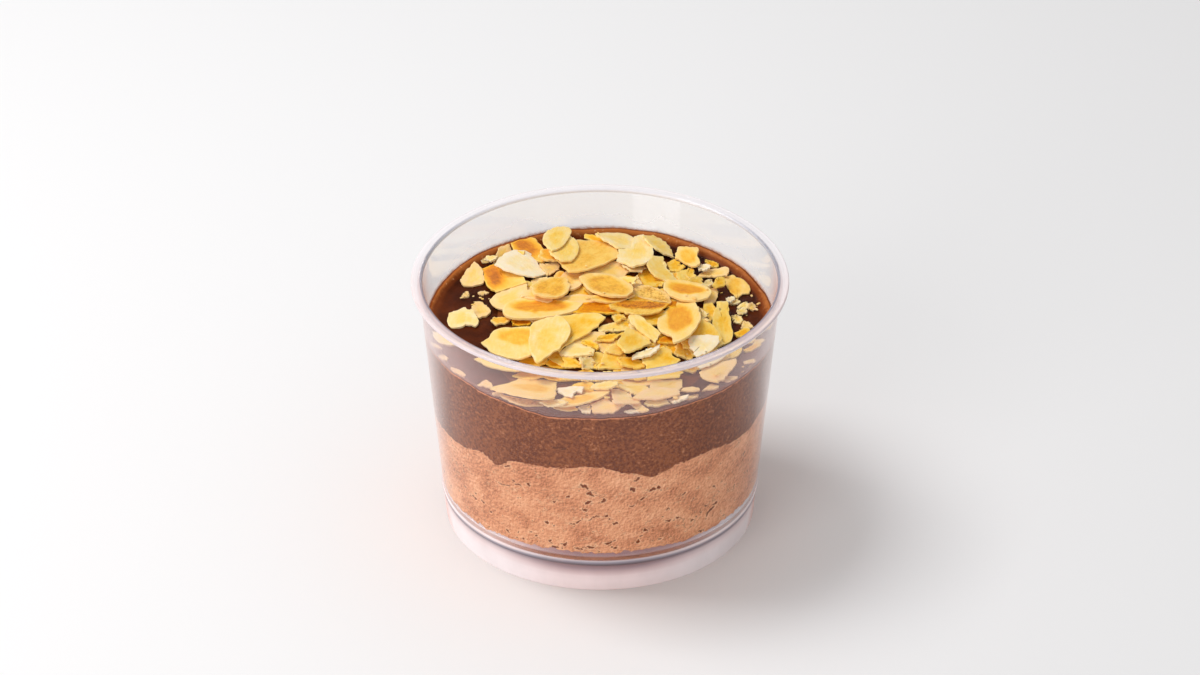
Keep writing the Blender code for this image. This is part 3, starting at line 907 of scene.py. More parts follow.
    def build(self) -> Piece:
        """Make the cup.

        Returns:
            The finished piece.
        """
        material = ClearPlastic("clear_plastic").material()
        section = np.array([(radius, 0.0, height) for radius, height in self.section()])
        line = mesh_object("cup_shell", section, [])
        plain = run_tree(line, self.lathe_tree(), {"Segments": self.segments, "Finish": material})
        face_outwards(plain)
        attach(plain, "bloom_and_painted_light", self.bloom_and_painted_light(np.array([vertex.co for vertex in plain.data.vertices]) / MM))
        settle_piece(plain, [material], "clear_plastic", "cup")
        return plain


def run_tree(piece: Piece, tree: bpy.types.NodeTree, values: dict[str, Any]) -> Piece:
    """Run geometry nodes on a piece and keep the result as its plain mesh.

    Args:
        piece: Object whose mesh goes in.
        tree: The node group.
        values: The group's inputs by name, apart from the geometry.

    Returns:
        The same object with the finished mesh.
    """
    modifier = piece.modifiers.new("nodes", "NODES")
    modifier.node_group = tree
    for socket in tree.interface.items_tree:
        if socket.item_type == "SOCKET" and socket.in_out == "INPUT" and socket.name in values:
            modifier[socket.identifier] = values[socket.name]
    graph = bpy.context.evaluated_depsgraph_get()
    mesh = bpy.data.meshes.new_from_object(piece.evaluated_get(graph))
    piece.modifiers.remove(modifier)
    piece.data = mesh
    return piece


def face_outwards(piece: Piece) -> None:
    """Turn a closed mesh's faces outwards if they point in.

    Args:
        piece: Object with the mesh.
    """
    mesh = piece.data
    points = np.array([vertex.co for vertex in mesh.vertices]) / MM
    faces = [list(polygon.vertices) for polygon in mesh.polygons]
    if signed_volume(points, faces) < 0:
        mesh.flip_normals()


# ---------------- layers


@dataclass(frozen=True)
class Swell:
    """Rise of the seam at an angle."""

    angle: float
    height: float
    spread: float


@dataclass(frozen=True)
class Pit:
    """Air pocket against the wall: where it is, its half sizes, depth and tilt."""

    angle: float
    height: float
    run: float
    rise: float
    depth: float
    tilt: float = 0.0


@dataclass
class Seam:
    """Wavy seam between the mousse and the cream."""

    mean: float = 35.2
    slope: float = 1.9
    swells: tuple = (
        Swell(-44, 1.6, 6), Swell(-4, 3.9, 13), Swell(38, 1.2, 14), Swell(-80, -1.0, 16),
        Swell(105, 1.5, 20), Swell(150, -1.6, 18), Swell(-160, 1.8, 15), Swell(-118, -0.9, 14),
        Swell(-24, 2.3, 9), Swell(-30.5, 0.9, 3), Swell(-38.3, -1.2, 3), Swell(18.5, -1.5, 4.5),
        Swell(55, -1.0, 12))

    def at(self, angle: Array) -> Array:
        """Height of the seam on the wall.

        Args:
            angle: Angles round the cup.

        Returns:
            The height at each angle.
        """
        height = self.mean + self.slope * np.sin(np.radians(angle))
        for swell in self.swells:
            height = height + swell.height * bell(angle_between(angle, swell.angle), swell.spread)
        waves, ragged = Unevenness(3, 70, 0.0), Unevenness(4, 220, 0.0)
        return height + 0.16 * waves.at(angle, 0.0) + 0.1 * ragged.at(angle, 0.0)


PIT_DEPTH = 0.3  # a pocket stays within the overlap with the wall, so that no air shows


def pit_depth(pits: list[Pit], angle: Array, height: Array, radius: float) -> Array:
    """How deep the air pockets are at places on the wall.

    Args:
        pits: The pockets.
        angle: Angles of the places.
        height: Heights of the places.
        radius: Radius of the wall, to turn angles into lengths.

    Returns:
        The depth at each place.
    """
    depth = np.zeros(angle.shape)
    warp_across, warp_up = (0.13 * Unevenness(seed, 330, 6.5, 24).at(angle, height) for seed in (51, 52))
    for pit in pits:
        across = np.radians(angle_between(angle, pit.angle)) * radius + warp_across
        up = height - pit.height + warp_up
        near = (np.abs(across) < 2.2 * pit.run + 1) & (np.abs(up) < 2.2 * pit.run + 1)
        lean = math.radians(pit.tilt)
        along = across[near] * math.cos(lean) + up[near] * math.sin(lean)
        aside = up[near] * math.cos(lean) - across[near] * math.sin(lean)
        aside = aside + 0.25 * pit.run * np.sin(2.4 * along / pit.run + pit.height)
        ragged = 1 + 0.35 * np.sin(3.1 * along / pit.run + pit.angle) + 0.2 * np.sin(7.3 * along / pit.run)
        spread = (along / pit.run) ** 2 + (aside / (pit.rise * ragged)) ** 2
        depth[near] = np.maximum(depth[near], pit.depth * np.exp(-spread ** 1.5))
    return PIT_DEPTH * depth


def drawn_pits(count: int, seed: int, low: float, high: float, largest: float) -> list[Pit]:
    """Small air pockets strewn round the wall.

    Args:
        count: How many there are.
        seed: Seed of the draw.
        low: Lowest height.
        high: Greatest height.
        largest: Greatest half length.

    Returns:
        The pockets.
    """
    draw = random.Random(seed)
    pits = []
    for _ in range(count):
        run = largest * (0.25 + 0.75 * draw.random() ** 2)
        rise = run * draw.uniform(0.2, 0.6)
        height = low + (high - low) * draw.random() ** 1.3
        pits.append(Pit(draw.uniform(-180, 180), height, run, rise, draw.uniform(0.5, 0.9),
                        draw.gauss(12, 18)))
    return pits


@dataclass
class MousseLayer:
    """Lower layer of aerated chocolate mousse, pressed against the wall."""

    cup: CupShell
    seam: Seam
    edge_low: float = 11.5
    edge_slope: float = 0.6
    lip: float = 4.2
    reach_in: float = 0.36
    columns: int = 960
    rows: int = 88
    pits: tuple = (
        Pit(-5.6, 33.1, 0.9, 0.45, 1.2, -20), Pit(-4.2, 32.3, 0.7, 0.25, 0.9, -25),
        Pit(-3.3, 30.3, 1.0, 0.4, 1.2, -18), Pit(1.4, 28.4, 0.8, 0.4, 1.1, 25),
        Pit(-4.2, 27.8, 1.1, 0.3, 1.0, 5), Pit(-5.3, 25.6, 1.0, 0.22, 0.8, 8),
        Pit(-7.9, 21.5, 2.2, 0.22, 0.8, 16), Pit(-2.0, 22.9, 1.8, 0.22, 0.8, 14),
        Pit(-18.9, 20.1, 0.6, 0.35, 1.0), Pit(5.3, 21.1, 0.6, 0.35, 0.9),
        Pit(-10.9, 29.1, 0.7, 0.3, 0.9, 10), Pit(-15.9, 27.1, 0.5, 0.3, 0.8),
        Pit(-25.0, 30.8, 0.6, 0.4, 0.9), Pit(-50.3, 19.3, 1.0, 0.3, 0.9, 5),
        Pit(-45.8, 19.5, 0.7, 0.3, 0.8), Pit(-32.9, 34.6, 1.0, 0.3, 0.8, 10),
        Pit(3.6, 15.2, 1.6, 0.3, 0.9, 6), Pit(-3.0, 13.8, 1.2, 0.35, 0.9, 8),
        Pit(-16.1, 12.6, 1.0, 0.35, 0.9, 20), Pit(-12.8, 14.0, 0.9, 0.3, 0.8, 25),
        Pit(-18.0, 14.4, 0.5, 0.3, 0.8), Pit(-28.2, 12.9, 0.4, 0.3, 0.8),
        Pit(11.1, 31.4, 0.7, 0.6, 1.2), Pit(12.7, 34.4, 0.7, 0.35, 0.9, 20),
        Pit(18.2, 30.5, 0.8, 0.45, 1.1, 20), Pit(20.2, 30.8, 0.5, 0.4, 1.0),
        Pit(14.7, 28.2, 0.9, 0.3, 0.9, 10), Pit(42.5, 17.6, 1.6, 0.4, 1.1, 40),
        Pit(44.8, 19.4, 1.0, 0.3, 0.9, 30), Pit(24.6, 19.6, 0.9, 0.3, 0.9, 5),
        Pit(28.3, 19.7, 0.6, 0.3, 0.8), Pit(34.6, 17.2, 0.7, 0.3, 0.8, 15),
        Pit(24.4, 23.2, 0.6, 0.3, 0.8), Pit(16.2, 17.9, 0.7, 0.35, 0.9),
        Pit(5.0, 13.5, 0.9, 0.3, 0.8, 5), Pit(30.2, 26.8, 0.6, 0.3, 0.8, 15),
        Pit(43.3, 25.2, 0.5, 0.3, 0.8), Pit(-34.3, 28.3, 2.6, 0.18, 0.7, -14),
        Pit(-28.9, 29.6, 1.6, 0.18, 0.7, -12))

    def lower_edge(self, angle: Array) -> Array:
        """Height where the mousse leaves the wall, ragged and higher on the right.

        Args:
            angle: Angles round the cup.

        Returns:
            The height at each angle.
        """
        turn = np.radians(angle)
        wavy = 0.35 * np.sin(7 * turn + 0.6) * np.sin(3 * turn)
        waves, teeth = Unevenness(21, 90, 0.0), Unevenness(22, 210, 0.0)
        ragged = 0.26 * waves.at(angle, 0.0) + 0.2 * teeth.at(angle, 0.0)
        return self.edge_low + self.edge_slope * (1 + np.sin(turn)) / 2 + wavy + ragged

    def build(self) -> Piece:
        """Make the mousse.

        Returns:
            The finished piece.
        """
        body = Body(self.columns)
        angle = body.angle
        nothing = np.zeros((self.columns, 3))
        edge = self.lower_edge(angle)
        top = self.seam.at(angle) + 0.35
        floor = np.full(self.columns, self.cup.floor_top - 0.12)
        edge_radius = self.cup.inner(edge) + self.reach_in
        for share in (0.3, 0.6, 0.8, 0.9):
            body.round_ring((edge_radius - self.lip) * share, floor, nothing)
        for drop in (1.0, 0.7, 0.42, 0.2, 0.07, 0.015):
            height = edge - (edge - floor) * drop
            body.round_ring(edge_radius - self.lip * math.sqrt(drop), height, nothing)
        pits = [*self.pits, *drawn_pits(330, 8, 11.5, 35.0, 0.7), *drawn_pits(160, 9, 11.0, 20.0, 0.7)]
        foam = Unevenness(5, 300, 5.0, 40)
        folds = Unevenness(6, 60, 3.0, 40)
        for share in np.linspace(0, 1, self.rows) ** 0.95:
            height = edge + share * (top - edge)
            hollow = pit_depth(pits, angle, height, float(self.cup.outer(24.0)))
            relief = 0.045 * foam.at(angle, height) + 0.06 * folds.at(angle, height)
            radius = self.cup.inner(height) + np.maximum(self.reach_in + relief - hollow, 0.03)
            body.round_ring(radius, height, np.column_stack([hollow, nothing[:, :2]]))
        for share in (0.985, 0.9, 0.6, 0.3):
            height = self.seam.mean + (top - self.seam.mean) * share ** 2
            body.round_ring((self.cup.inner(top) + self.reach_in) * share, height, nothing)
        piece = body.piece("mousse_layer", "foam")
        settle_piece(piece, [MousseFinish("aerated_mousse").material()], "chocolate_mousse", "mousse")
        return piece


@dataclass
class CreamLayer:
    """Upper layer of chocolate cream, with the film that it leaves up the wall."""

    cup: CupShell
    seam: Seam
    level: float = 55.0
    gap: float = 0.32
    front_dip: float = 0.9
    unevenness: float = 0.22
    film_rise: float = 2.0
    film_width: float = 1.3
    pocket: tuple = (-12.0, -41.0)
    pocket_depth: float = 1.1
    pocket_radius: float = 5.0
    reach_in: float = 0.4
    columns: int = 720
    side_rows: int = 40
    pits: tuple = (
        Pit(-15.0, 44.1, 0.5, 0.35, 1.1), Pit(-12.8, 44.2, 1.3, 0.2, 0.9, 22),
        Pit(-6.6, 48.3, 0.4, 0.3, 0.9), Pit(-17.0, 39.0, 0.3, 0.4, 0.8))

    def __post_init__(self) -> None:
        """Make the two finishes."""
        self.pressed = PressedCreamFinish("pressed_cream").material()
        self.opened = OpenCreamFinish("open_cream").material()

    def part_faces(self, piece: Piece) -> None:
        """Give the open top its own finish.

        Args:
            piece: The cream, pressed to the wall below its edge.
        """
        for polygon in piece.data.polygons:
            open_top = polygon.center.z / MM > self.level - 3 and polygon.normal.z > 0.3
            polygon.material_index = int(open_top)

    @property
    def reach(self) -> float:
        """Radius of the cream at its level."""
        return self.cup.foot_radius + self.cup.flare * self.level - self.cup.wall - self.gap

    def surface(self, x: Any, y: Any) -> Any:
        """Height of the cream's top.

        Args:
            x: Places along X, a number or an array.
            y: Places along Y, likewise.

        Returns:
            The height at each place.
        """
        wavy = np.sin(0.17 * x + 0.8) * np.cos(0.21 * y - 0.5) + 0.5 * np.sin(0.4 * x - 0.3 * y)
        front = np.maximum(0.0, -y / self.reach) ** 3
        hollow = np.exp(-((x - self.pocket[0]) ** 2 + (y - self.pocket[1]) ** 2) / self.pocket_radius ** 2)
        height = self.level + self.unevenness * wavy - self.front_dip * front - self.pocket_depth * hollow
        from_wall = np.maximum(0.0, self.reach - np.hypot(x, y))
        film = self.film_rise * (0.5 + 0.5 * y / self.reach) + 0.15 * np.sin(5 * np.arctan2(x, -y))
        return height + np.maximum(0.0, film) * np.exp(-(from_wall / self.film_width) ** 2)

    def build(self) -> Piece:
        """Make the cream.

        Returns:
            The finished piece.
        """
        body = Body(self.columns)
        angle, around = body.angle, body.around
        bottom = self.seam.at(angle)
        rim_x, rim_y = (self.reach * around).T
        edge = self.surface(rim_x, rim_y) + 0.08 * Unevenness(31, 60, 0.0).at(angle, 0.0)
        still = np.zeros(self.columns)
        for share in (0.3, 0.6, 0.9, 0.985):
            radius = (self.cup.inner(bottom) + self.reach_in) * share
            height = self.seam.mean + (bottom - self.seam.mean) * share ** 2
            body.round_ring(radius, height, np.column_stack([still, still, still]))
        pits = [*self.pits, *drawn_pits(70, 14, 34.0, 53.0, 0.35)]
        folds = Unevenness(16, 40, 1.2, 30)
        for share in (*np.linspace(0, 0.96, self.side_rows - 6), 0.97, 0.978, 0.985, 0.991, 0.996, 1.0):
            height = bottom + share * (edge - bottom)
            hollow = pit_depth(pits, angle, height, float(self.cup.outer(45.0)))
            hollow = hollow * (height < edge - 0.8)
            radius = self.cup.inner(height) + self.reach_in - hollow + 0.02 * folds.at(angle, height)
            values = np.column_stack([bell(edge - height, 0.5), still, hollow])
            body.round_ring(radius, height, values)
        film_height = np.maximum(0.0, edge - self.level)
        distances = np.concatenate([np.linspace(0.1, 3.0, 18), np.linspace(3.6, self.reach - 1.0, 44)])
        for distance in distances:
            radius = self.reach - distance
            x, y = (radius * around).T
            height = self.surface(x, y) + (edge - self.surface(rim_x, rim_y)) * bell(distance, 1.5)
            film = np.clip((height - self.level) / 1.6, 0, 1) * eased(film_height, 0.2, 0.8)
            values = np.column_stack([still, film + 0.25 * bell(distance, 2.2), still])
            body.ring(np.column_stack([x, y, height]), values)
        piece = body.piece("cream_layer", "cream")
        self.part_faces(piece)
        settle_piece(piece, [self.pressed, self.opened], "chocolate_cream", "chocolate_cream")
        return piece


# ---------------- almonds


@dataclass(frozen=True)
class Outline:
    """How a drawn flake narrows, where it is broken off, how ragged it is, its tip and its corners."""

    taper: float
    break_at: float
    ragged: float
    point: float
    corners: int


class Form(Enum):
    """Kinds of drawn flake."""

    OVAL = Outline(0.06, 1.0, 0.06, 0.1, 12)
    HALF = Outline(0.16, 0.45, 0.08, 0.0, 14)
    CHIP = Outline(0.30, 0.70, 0.28, 0.0, 6)


@dataclass(frozen=True)
class Toasting:
    """How far a flake's rim and heart have browned, and what covers it."""

    rim: float
    heart: float
    heart_reach: float = 0.6
    browned: float = 0.0
    blush: float = 0.0
    raised: float = 0.05
    soft: float = 0.25


class Tone(Enum):
    """Shades of flake."""

    IVORY = Toasting(0.02, 0.12)
    CREAM = Toasting(0.2, 0.32)
    BUTTER = Toasting(0.3, 0.42)
    YELLOW = Toasting(0.4, 0.53)
    GOLD = Toasting(0.48, 0.63)
    PEACH = Toasting(0.22, 0.38, blush=0.5)
    PINK = Toasting(0.14, 0.26, blush=0.6)
    TAN = Toasting(0.4, 0.6, 0.85, browned=0.08, blush=0.3)
    ORANGE = Toasting(0.66, 0.84, 0.8)
    HEARTED = Toasting(0.32, 0.76, 0.64, blush=0.2, raised=0.12, soft=0.22)
    WARM_HEART = Toasting(0.32, 0.6, 0.6, blush=0.25, raised=0.08)
    SPECKLED = Toasting(0.34, 0.62, 0.84, browned=0.2, blush=0.3, raised=0.08)
    DUSKY = Toasting(0.42, 0.52, 0.92, browned=0.14, blush=0.35)
    TOASTED = Toasting(0.46, 0.84, 0.78, browned=0.7, blush=0.1)
    STREAKED = Toasting(0.32, 0.5, 0.8, browned=0.65, blush=0.5)
    BROWN_HEART = Toasting(0.44, 0.9, 0.8, blush=0.15, soft=0.7)


@dataclass(frozen=True)
class Slice:
    """A flake where the sight plane shows it: its tone, its corners in order and its browned heart.

    Its edge is round at a blunt corner, and crisp at a sharp one and ragged beside it. A heart is an
    ellipse: its middle, its half length and half width, and its turn in degrees.
    """

    tone: Tone
    corners: tuple
    heart: tuple = ()

    BLUNT = 0.72
    NIBBLE = 0.045
    RAGGED = 0.11

    def traced(self, _: int) -> "Slice":
        """The slice itself, which needs no draw."""
        return self

    def outline(self, sides: int, draw: np.random.Generator) -> Array:
        """Edge of the flake on the sight plane, anticlockwise.

        Args:
            sides: How many points it gets.
            draw: What roughens it.

        Returns:
            One row for each point.
        """
        corners = np.array(self.corners, float)
        follow = np.roll(corners, -1, axis=0)
        if (corners[:, 0] * follow[:, 1] - corners[:, 1] * follow[:, 0]).sum() < 0:
            corners = corners[::-1]
        leg = np.roll(corners, -1, axis=0) - corners
        length = np.linalg.norm(leg, axis=1, keepdims=True)
        ahead = leg / length
        behind = np.roll(ahead, 1, axis=0)
        halfway = (ahead + behind) / np.linalg.norm(ahead + behind, axis=1, keepdims=True)
        blunt = (ahead * behind).sum(axis=1, keepdims=True) > self.BLUNT
        leave = np.where(blunt, halfway, ahead) * length
        arrive = np.roll(np.where(blunt, halfway, behind), -1, axis=0) * length
        broken = ~(blunt & np.roll(blunt, -1, axis=0))[:, 0]
        counts = shared_out(length[:, 0], sides)
        points = []
        for index, count in enumerate(counts):
            t = (np.arange(count) / count)[:, None]
            swing = (t ** 3 - 2 * t ** 2 + t) * leave[index] + (t ** 3 - t ** 2) * arrive[index]
            points.append(corners[index] + (3 * t ** 2 - 2 * t ** 3) * leg[index] + swing)
        jolt = draw.normal(0.0, 1.0, (sides, 2))
        jolt += 0.7 * np.roll(jolt, 1, axis=0)
        rough = np.repeat(np.where(broken, self.RAGGED, self.NIBBLE), counts)
        return np.concatenate(points) + jolt * rough[:, None]


@dataclass(frozen=True)
class Flake:
    """A small or mostly hidden flake: its place on the sight plane, turn in degrees, size and looks."""

    x: float
    y: float
    turn: float
    length: float
    width: float
    tone: Tone
    form: Form = Form.CHIP

    def traced(self, seed: int) -> Slice:
        """Draw the flake's corners.

        Args:
            seed: Seed of the draw.

        Returns:
            The flake with its own outline.
        """
        draw = np.random.default_rng(seed)
        shape = self.form.value
        angle = (np.arange(shape.corners) + draw.uniform(-1, 1, shape.corners) * shape.ragged) \
            * math.tau / shape.corners
        size = 1 - shape.ragged * draw.uniform(0, 1, shape.corners)
        along = np.minimum(np.cos(angle) * size, shape.break_at)
        across = np.sin(angle) * size * (1 - shape.taper * np.cos(angle)) \
            * (1 - shape.point * np.cos(angle / 2) ** 8)
        edge = np.column_stack([along, across])
        edge = (edge - edge.min(axis=0)) / np.ptp(edge, axis=0) - 0.5
        corners = turned(edge * (self.length, self.width), -math.radians(self.turn)) + (self.x, self.y)
        return Slice(self.tone, corners)


def turned(places: Array, angle: float) -> Array:
    """Places on a plane as seen along axes turned by an angle in radians."""
    sine, cosine = math.sin(angle), math.cos(angle)
    return places @ np.array(((cosine, -sine), (sine, cosine)))


def shared_out(lengths: Array, total: int) -> Array:
    """Share points out among stretches by their lengths, with one or more for each.

    Args:
        lengths: Length of each stretch.
        total: How many points there are.

    Returns:
        How many each stretch gets.
    """
    counts = np.maximum(1, np.rint(lengths / lengths.sum() * total).astype(int))
    while counts.sum() != total:
        counts[np.argmax(counts)] += np.sign(total - counts.sum())
    return counts


LOWER_FLAKES = (
    Slice(Tone.BROWN_HEART, ((-30.1, 20.8), (-26.3, 23.4), (-24.2, 20.2), (-20, 17.6), (-18.4, 14),
          (-26, 9.2), (-28.4, 12)), (-26.9, 17.6, 6.4, 2.5, -78)),
    Slice(Tone.BROWN_HEART, ((-23, 34.2), (-18, 36.8), (-16.9, 36.5), (-11.9, 26.3), (-14.8, 24.2),
          (-22.4, 30)), (-19.3, 32.3, 5.6, 3.0, -64)),
    Slice(Tone.PEACH, ((-15.5, 24.1), (-10.7, 24.2), (-10.5, 21.5), (-13.5, 17.8))),
    Slice(Tone.GOLD, ((-4, 39.2), (-1.5, 38.7), (4.4, 32), (-3.8, 36.8))),
    Slice(Tone.PEACH, ((-3.5, 20.8), (2.2, 24.9), (4.5, 25.3), (8.4, 21.3), (5.4, 15.6), (-2.5, 18.8))),
    Slice(Tone.PEACH, ((9.6, 17.8), (11, 13.5), (8, 11.5), (5.9, 14.6))),
    Slice(Tone.GOLD, ((9.7, 20.2), (11.8, 21.6), (16.6, 14.9), (16, 12.3), (11.5, 12.4), (10.5, 15.5))),
    Slice(Tone.GOLD, ((17.2, 24.2), (19.1, 25.9), (22, 22.2), (20.2, 19.5), (17.8, 20))),
    Slice(Tone.YELLOW, ((19.6, 19.3), (23.5, 22.1), (24.3, 19.5), (24, 14.2), (19.6, 16.5)),
          (22.8, 18.8, 2.4, 0.9, 75)),
    Slice(Tone.PEACH, ((26.5, 13), (29.8, 10.8), (29.9, 7.5), (29, 4.2), (26.5, 4))),
    Slice(Tone.ORANGE, ((-5.4, 4.4), (2.4, 4.4), (5, -1), (-6.6, -0.6))),
    Slice(Tone.PEACH, ((-18.2, 8.2), (-10, 7.2), (-5, 8.6), (2.4, 6.2), (0, 4.4), (-10, 4.8))),
    Slice(Tone.TAN, ((-4, 6.2), (4, 4.8), (8.9, 7.9), (8.6, 9.8), (0, 8.4))),
    Slice(Tone.ORANGE, ((-22, -3.4), (-17.8, -3.4), (-17.3, -6), (-22, -6.8))),
    Slice(Tone.PEACH, ((-28, 5.2), (-27.2, 7.4), (-24.5, 10.2), (-18.6, 13.8), (-18.2, 6.5), (-20.5, 4),
          (-24.8, 1.3), (-26.8, 2.6))),
    Slice(Tone.YELLOW, ((26.4, 4), (28.4, 4.2), (29.5, 0.5), (27.8, -5.3), (26, 1.6))),
    Slice(Tone.CREAM, ((25, 2.8), (27.3, -0.8), (26.6, -3.2), (25.3, -3.6))),
    Slice(Tone.YELLOW, ((29.6, 4.9), (32.2, 5.6), (32.9, -5), (32.8, -14), (31, -16), (28.3, -6.4))),
    Slice(Tone.YELLOW, ((25, -4), (26.6, -4.1), (29.8, -10), (30.9, -15.5), (26.5, -21.5),
          (23.2, -21.5), (21, -13.6)), (26.2, -9.5, 4.0, 2.4, -60)),
    Slice(Tone.GOLD, ((-9.3, -21.8), (-6.4, -21.7), (-4, -26.5), (-8.6, -26.5))),
    Slice(Tone.CREAM, ((-5.3, -21.6), (-2, -21.7), (-1.4, -27), (-4.2, -27.5))),
    Slice(Tone.GOLD, ((-1.8, -20), (0.5, -19.5), (0.8, -27), (-2, -27))),
    Slice(Tone.GOLD, ((-4.8, -13.2), (-2.4, -14), (0, -16.2), (-0.8, -18.4), (-4.5, -15.6))),
    Slice(Tone.CREAM, ((-7.4, -15.2), (-4.8, -15.9), (-1, -18.4), (-1.8, -20.7), (-8.2, -21.3),
          (-10.1, -20))),
    Slice(Tone.GOLD, ((0, -11.5), (6, -10.2), (3.3, -14), (-1.5, -14))),
    Slice(Tone.BUTTER, ((0, -7.4), (2, -5.8), (6.6, -4.3), (7.6, -5.4), (6, -9.5), (-0.4, -10))),
    Slice(Tone.YELLOW, ((3, -2.4), (3.8, -1.4), (6, -1.4), (6.4, -3.2), (4.2, -5.2))),
    Slice(Tone.GOLD, ((15.8, -15.6), (18.6, -15), (19.6, -19.2), (18, -20.2))),
    Slice(Tone.TAN, ((19.3, -14.8), (20.3, -14.4), (22.9, -21), (22.4, -23.5), (18.3, -20.2))),
    Slice(Tone.ORANGE, ((14.8, -12.8), (18, -11.4), (18.6, -15.4), (14.4, -14.8))),
    Slice(Tone.YELLOW, ((1.6, -17.2), (5, -16.2), (6.4, -20.5), (5.4, -27.5), (-0.6, -27.5)),
          (3.2, -20.8, 3.5, 1.4, 90)),
    Slice(Tone.STREAKED, ((-25, -39.4), (-14, -41), (-14, -43.6), (-18.5, -44.2), (-22.5, -42))),
    # A flake in the shade of others: its tan is partly its own tone and partly painted shade.
    Slice(Tone.TAN, ((-13, -42), (-6, -42.4), (-5.4, -45.2), (-8.8, -45.4))),
    Slice(Tone.PINK, ((-2.1, -42), (1.6, -38), (2.8, -41.2), (6.4, -42), (3.4, -46.6), (-1.8, -47))),
    Slice(Tone.IVORY, ((-5.3, -43.8), (-4, -42.3), (-2.4, -42.2), (-2.3, -46.9), (-4.2, -46.6))),
    Slice(Tone.IVORY, ((16.6, -40.2), (19, -38.6), (21.6, -38.2), (21.4, -40), (17.8, -42.4))),
    Slice(Tone.CREAM, ((10.6, -41.8), (11.4, -39.6), (16, -39.4), (16.8, -42), (14, -43.4),
          (11.6, -43.2))),
    Slice(Tone.PINK, ((7.2, -42), (9.6, -41.4), (11.8, -45.8), (10, -47))),
    Slice(Tone.BUTTER, ((3.5, -30), (11, -30.5), (11.6, -33.4), (9, -36.8))),
    Slice(Tone.PINK, ((2.4, -32.6), (4, -32.2), (6.8, -34.6), (7.8, -38.6), (10, -39.6), (9.6, -42),
          (3.2, -41.8))),
    Slice(Tone.WARM_HEART, ((-13.2, -42.6), (-8, -38), (-4, -36.5), (1.8, -31.5), (2.3, -34.5),
          (0.6, -38), (-5.6, -43), (-9, -43.5)), (-5, -39.6, 4.5, 2.0, 30)),
    Slice(Tone.PEACH, ((12, -27.5), (19.5, -27.5), (20, -31), (19, -34.5), (12, -33))),
)
SHARDS = (
    Flake(7.8, -45.9, 10, 4, 1.8, Tone.IVORY), Flake(-25.0, -4.0, 15, 5, 3.5, Tone.TAN),
    Flake(26.6, 21.9, 50, 3.4, 2.6, Tone.IVORY), Flake(30.3, 14.6, 80, 6, 3, Tone.GOLD),
    Flake(27.5, 14.0, 60, 4, 2.4, Tone.CREAM), Flake(24.0, 14.5, 80, 6, 4, Tone.YELLOW),
    Flake(5.0, -17.5, 20, 8, 5, Tone.YELLOW), Flake(7.5, -24.5, -25, 8, 4.5, Tone.GOLD),
    Flake(22.5, -15.0, 60, 6, 4, Tone.YELLOW), Flake(13.0, -2.0, 25, 9, 5, Tone.GOLD),
    Flake(-4.0, -2.5, -15, 8, 4, Tone.ORANGE), Flake(-16.0, 8.0, -30, 9, 5, Tone.PEACH),
    Flake(6.0, 14.5, 35, 8, 5, Tone.BUTTER), Flake(-13.0, 27.5, -45, 7, 4, Tone.TAN),
    Flake(-21.5, 28.5, 30, 6, 3.5, Tone.TAN), Flake(8.5, 23.0, -60, 8, 5, Tone.CREAM),
    Flake(1.0, -31.0, 30, 8, 5, Tone.BUTTER), Flake(-11.0, -41.5, 10, 7, 4, Tone.CREAM),
    Flake(22.0, -34.5, -30, 5, 3, Tone.PINK), Flake(-7.3, 14.8, 80, 9, 6, Tone.PEACH, Form.HALF),
)
